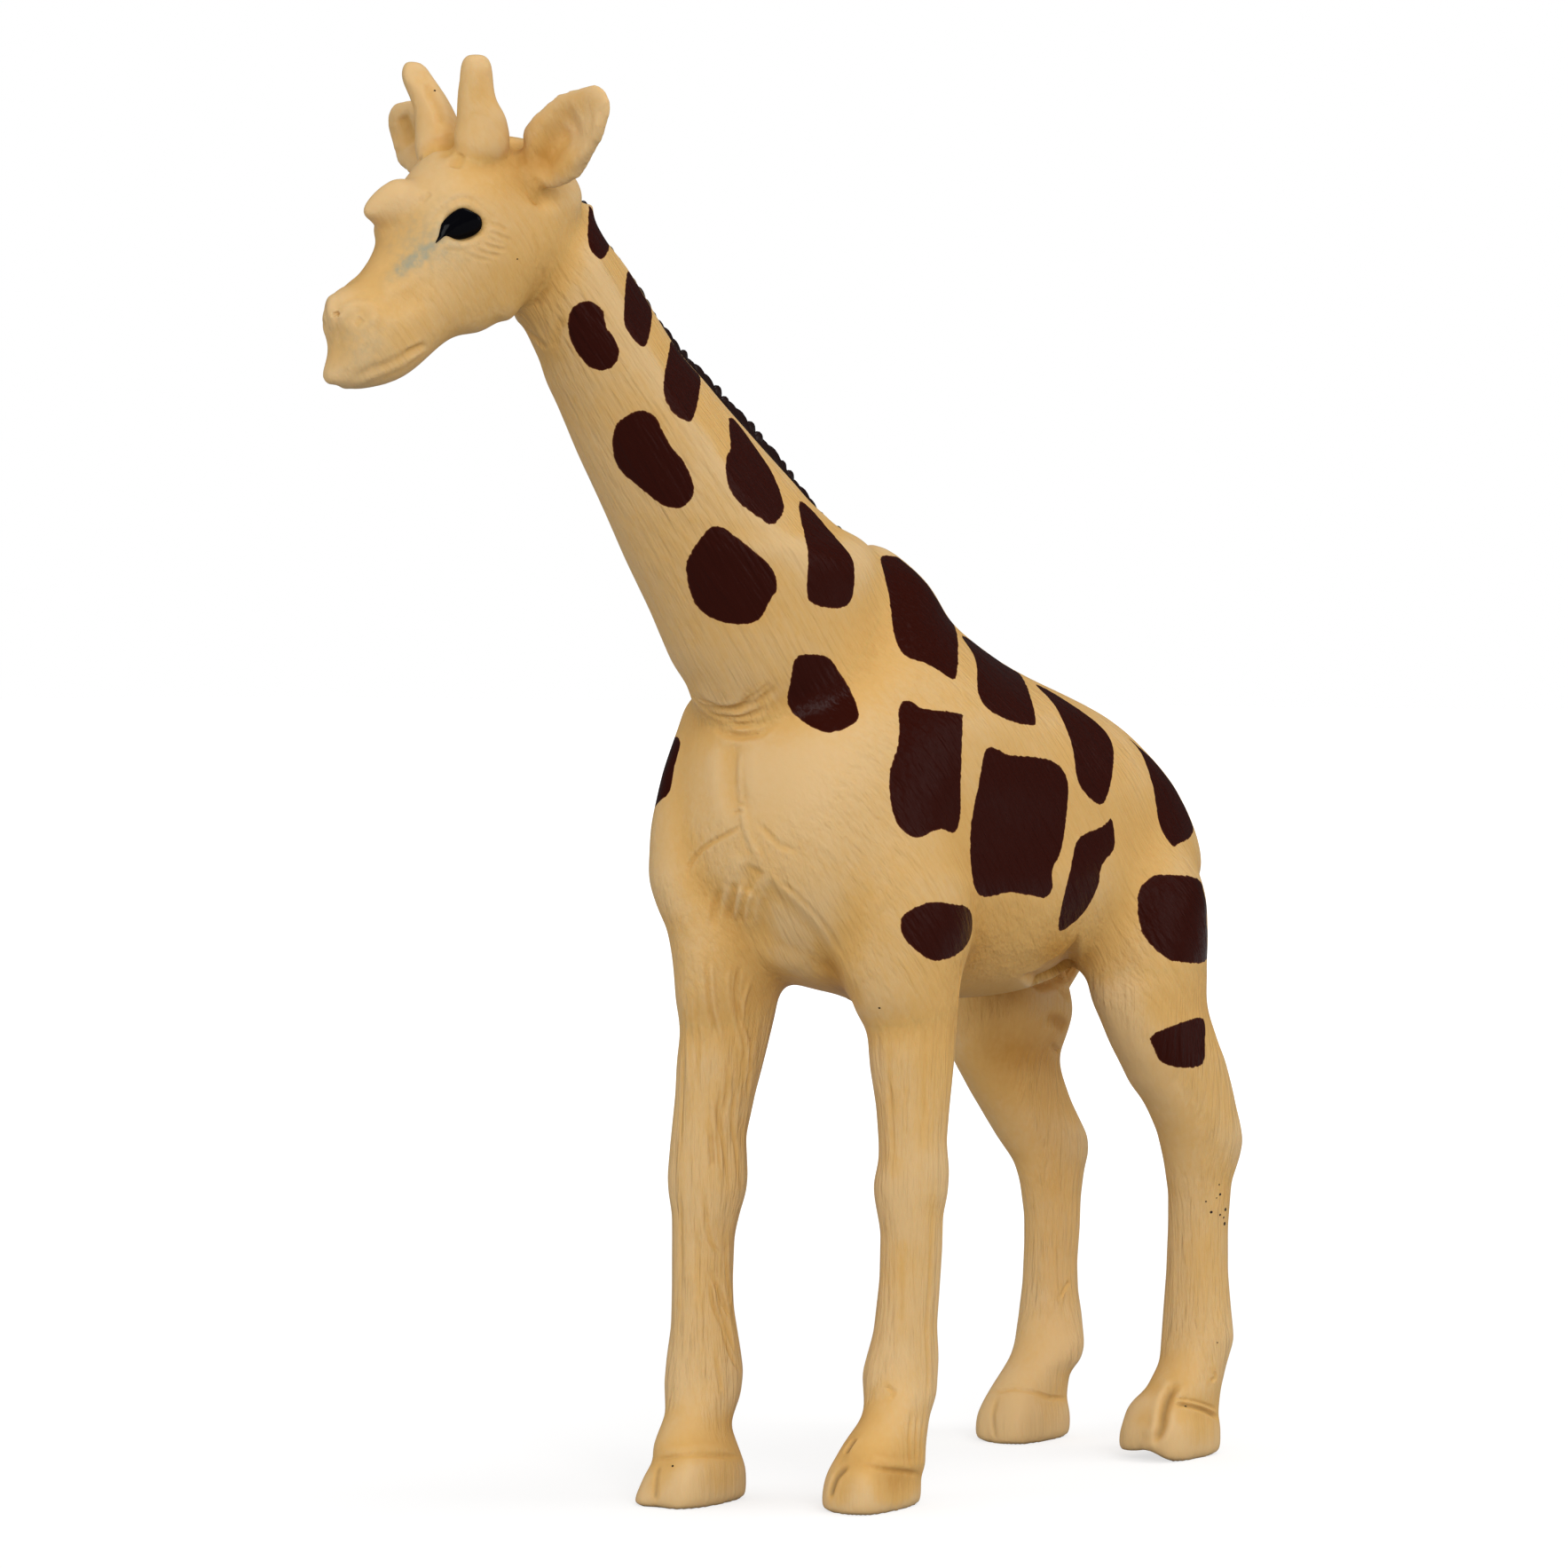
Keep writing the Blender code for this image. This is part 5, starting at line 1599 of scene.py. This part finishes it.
def vinyl_material():
    """Cream vinyl with moulded hair, brown paint, dirt and painted shade, placed by the skin's
    attributes.
    """
    made, tree, shader = new_material("painted_vinyl")
    where = node_of(tree, "ShaderNodeTexCoord").outputs["Object"]
    hair = node_of(tree, "ShaderNodeGroup", node_tree=hair_group())
    fine, broad = hair.outputs["Fine"], hair.outputs["Broad"]
    blotch = noise(tree, where, *BLOTCH_NOISE)
    ragged = noise(tree, where, *RAGGED_NOISE)
    paint = paint_depth(tree, fine, ragged)
    painted = ranged(tree, paint, PAINT_EDGE, 0.0, 1.0)
    thick = ranged(tree, paint, PAINT_THICKENING, 0.0, 1.0)
    cream = cream_colour(tree, cream_tone(tree, fine, broad, blotch, ragged))
    dirty_and_shaded = dirty_and_shaded_cream(tree, cream, blotch, ragged)
    brown = mixed(tree, "RGBA", thick, BROWN_THIN, BROWN_THICK)
    surface = {
        "Base Color": mixed(tree, "RGBA", painted, dirty_and_shaded, brown),
        "Roughness": ranged(tree, painted, (0.0, 1.0), VINYL_ROUGHNESS, PAINT_ROUGHNESS),
        "Subsurface Weight": ranged(tree, painted, (0.0, 1.0), VINYL_SOFTNESS, 0.0),
        "Subsurface Radius": VINYL_GLOW_COLOURS,
        "Subsurface Scale": VINYL_GLOW_DEPTH,
        "Specular IOR Level": ranged(tree, painted, (0.0, 1.0), VINYL_SHINE, PAINT_SHINE),
        "Normal": hair_bump(tree, fine, broad),
    }
    for name, value in surface.items():
        feed(tree, shader.inputs[name], value)
    return made


def plain_material(name, colour, roughness, shine):
    made, tree, shader = new_material(name)
    feed(tree, shader.inputs["Base Color"], colour)
    feed(tree, shader.inputs["Roughness"], roughness)
    feed(tree, shader.inputs["Specular IOR Level"], shine)
    return made


# Floor and light

def make_floor():
    """A white floor that glows for the camera alone, least under the figure."""
    bm = bmesh.new()
    bmesh.ops.create_grid(bm, x_segments=1, y_segments=1, size=FLOOR_SIZE)
    mesh = bpy.data.meshes.new("floor")
    bm.to_mesh(mesh)
    bm.free()
    made = plain_material("white_floor", FLOOR_COLOUR, FLOOR_ROUGHNESS, 0.0)
    tree = made.node_tree
    shader = tree.nodes["Principled BSDF"]
    length = node_of(tree, "ShaderNodeVectorMath", operation="LENGTH")
    where = node_of(tree, "ShaderNodeTexCoord").outputs["Object"]
    tree.links.new(where, length.inputs[0])
    far = ranged(tree, length.outputs["Value"], FLOOR_GLOW_REACH, FLOOR_GLOW, 1.0)
    seen = node_of(tree, "ShaderNodeLightPath").outputs["Is Camera Ray"]
    feed(tree, shader.inputs["Emission Color"], WHITE)
    feed(tree, shader.inputs["Emission Strength"], calculated(tree, "MULTIPLY", seen, far))
    mesh.materials.append(made)
    link("floor", mesh)


def make_world():
    """Even white light, dimmer where the figure would mirror it, and white for the camera."""
    world = bpy.data.worlds.new("studio")
    bpy.context.scene.world = world
    world.use_nodes = True
    tree = world.node_tree
    light = tree.nodes["Background"]
    path = node_of(tree, "ShaderNodeLightPath")
    room = ranged(tree, path.outputs["Is Glossy Ray"], (0.0, 1.0), ROOM_LIGHT, ROOM_SHEEN)
    shown = calculated(tree, "MAXIMUM", room, path.outputs["Is Camera Ray"])
    feed(tree, light.inputs["Strength"], shown)
    feed(tree, light.inputs["Color"], WHITE)


def make_lamp(name, place, target, size, power):
    data = bpy.data.lights.new(name, "AREA")
    data.shape = "DISK"
    data.size = size
    data.energy = power
    lamp = bpy.data.objects.new(name, data)
    lamp.location = place
    lamp.rotation_euler = (place - target).to_track_quat("Z", "Y").to_euler()
    bpy.context.scene.collection.objects.link(lamp)


def light_the_figure(view):
    make_world()
    target = ORIGIN + CAMERA_TARGET_FROM_CHEST
    away = -view.ahead
    for name, (ahead, right, up), size, power in LAMPS:
        place = target + away * ahead + view.right * right + Vector((0, 0, up))
        make_lamp(name, place, target, size, power)


# The whole figure

def sculpted_mesh(view):
    """All mouldings as one mesh, smoothed and drawn to the photograph's edges."""
    mesh = make_skin()
    tree, owners = node_finder()
    skin = Skin(mesh)
    labels = np.array([owners[tree.find_nearest(Vector(point))[2]] for point in skin.points])
    shares = spread(skin, [SMOOTH_SHARES[label] for label in labels])
    skin.smooth(shares * 0.5, SMOOTH_ROUNDS)
    square_hooves(skin, labels)
    draw_crest(skin, view, labels)
    fit_edges(skin, view, labels)
    pull(skin, view, labels)
    relax_tuft(skin, labels)
    blend(skin, view, labels)
    smooth_all(skin, *LAST_SMOOTHING)
    # Painted shade: the cream is deepened in the wide hollows, where shade falls
    wide_hollow_shade = hollows(skin, skin.normals(), WIDE_ROUNDS) * WIDE_SHADE_GAIN
    store_values(mesh, "wide_hollow_shade", wide_hollow_shade)
    store_values(mesh, "hair", spread(skin, [HAIR_SHARES[label] for label in labels]))
    return refined(mesh, labels)


def smooth_all(skin, strength, rounds):
    skin.smooth(np.full(len(skin.points), strength), rounds)


def finished_mesh(view):
    """The sculpted skin with its carving, and its paint, dirt, painted shade and hair as
    attributes.
    """
    mesh = sculpted_mesh(view)
    caster = Caster(view, mesh)
    routes = cast_routes(caster)
    for widest, reach in FINER_STEPS:
        finer_near(mesh, routes, widest, reach)
    skin = Skin(mesh)
    smooth_all(skin, *FINE_SMOOTHING)
    normals = skin.normals()
    paint = paint_patches(skin, caster, normals)
    dent(skin, view, normals)
    normals = skin.normals()
    dirt_and_shade = np.zeros(len(skin.points))
    for route, radius, depth, dirt_and_shade_share in routes:
        carve(skin, normals, dirt_and_shade, route, radius, depth, dirt_and_shade_share)
    skin.points[skin.points[:, 2] < SOLE_DEPTH, 2] = 0
    normals = skin.normals()
    # The dirt and painted shade along the grooves is softened over a few rounds of neighbours
    for _ in range(DIRT_AND_SHADE_ROUNDS):
        dirt_and_shade = skin.mean(dirt_and_shade)
    # Painted shade: the cream is deepened in the near hollows as well
    near_hollow_shade = hollows(skin, normals, NEAR_ROUNDS) * NEAR_SHADE_GAIN
    on_legs = 1 - fade(skin.points[:, 2], *LEG_HAIR_HEIGHTS)
    store_values(mesh, "paint", paint)
    store_values(mesh, "dirt_and_shade", dirt_and_shade)
    store_values(mesh, "hollow_shade", near_hollow_shade + read_values(mesh, "wide_hollow_shade"))
    store_values(mesh, "smudge", smudge_values(skin, view))
    store_values(mesh, "tone_and_shading", tone_and_shading_values(skin, view))
    store_values(mesh, "on_neck", neck_values(skin))
    store_values(mesh, "on_legs", on_legs)
    store_vectors(mesh, "skin_normal", normals)
    hair = hair_values(skin, read_values(mesh, "hair"), normals, on_legs)
    mesh.attributes["hair"].data.foreach_set("value", hair)
    return mesh


def neck_values(skin):
    """1 on the neck and the head, 0 on the trunk, with a soft change between."""
    root, crown, _ = neck_line()
    rise = np.array((crown - root).normalized())
    along = (skin.points - np.array(root)) @ rise
    return fade(along, *NECK_HAIR_REACH)


def hair_values(skin, hair, normals, on_legs):
    """The hair's strength, less where its furrows would be seen end-on and on the hooves."""
    way = np.array((0, -math.sin(FLANK_GRAIN), math.cos(FLANK_GRAIN)))
    end_on = fade(np.abs(normals @ way), *FLANK_END_ON) * (1 - on_legs)
    end_on += fade(np.abs(normals[:, 2]), *LEG_END_ON) * on_legs
    above_hoof = fade(skin.points[:, 2], *HOOF_HAIR_HEIGHTS)
    hair = hair * (1 - END_ON_LOSS * end_on)
    return hair * (HOOF_HAIR_SHARE + (1 - HOOF_HAIR_SHARE) * above_hoof)


def tone_and_shading_values(skin, view):
    """Paler and deeper areas of the cream, by the table: own tone, painted light and painted shade.
    """
    columns, rows, _ = view.pixels(skin.points)
    total = np.zeros(len(columns))
    for column, row, radius, amount in TONE_AND_SHADING_AREAS:
        total += amount * np.exp(-((columns - column) ** 2 + (rows - row) ** 2) / radius**2)
    return total


def smudge_values(skin, view):
    """The smudge below the left eye, and the haze on cheek and muzzle."""
    columns, rows, _ = view.pixels(skin.points)
    left, down = SMUDGE_START[0] - columns, rows - SMUDGE_START[1]
    leftward, downward = SMUDGE_WAY
    along = left * leftward + down * downward
    across = down * leftward - left * downward
    middle, length, width, amount = SMUDGE_STREAK
    total = amount * np.exp(-(((along - middle) / length) ** 2) - (across / width) ** 2)
    for column, row, wide, high, amount in HAZES:
        total += amount * np.exp(-(((columns - column) / wide) ** 2) - ((rows - row) / high) ** 2)
    return total * (skin.points[:, 2] > SMUDGE_LOWEST)


def make_skins(mesh):
    """One piece of the skin for each moulding, all with the same vinyl."""
    vinyl = vinyl_material()
    owners = face_nodes(mesh)
    for node in SKIN_NODES:
        own = cut_out(mesh, owners, node)
        own.materials.append(vinyl)
        finish_piece(link(node + "_skin", own), "cream_vinyl", *nodes_replaced(node))


def main():
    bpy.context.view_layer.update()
    view = View(make_camera())
    mesh = finished_mesh(view)
    caster = Caster(view, mesh)
    make_skins(mesh)
    bpy.data.meshes.remove(mesh)
    brown = plain_material("brown_paint", BROWN_DARK, MANE_ROUGHNESS, MANE_SHINE)
    black = plain_material("black_paint", BLACK, EYE_ROUGHNESS, EYE_SHINE)
    make_eyes(caster, black)
    make_mane(caster, brown)
    make_specks(caster, brown)
    make_floor()
    light_the_figure(view)
    bpy.context.scene.view_settings.view_transform = "Standard"


main()
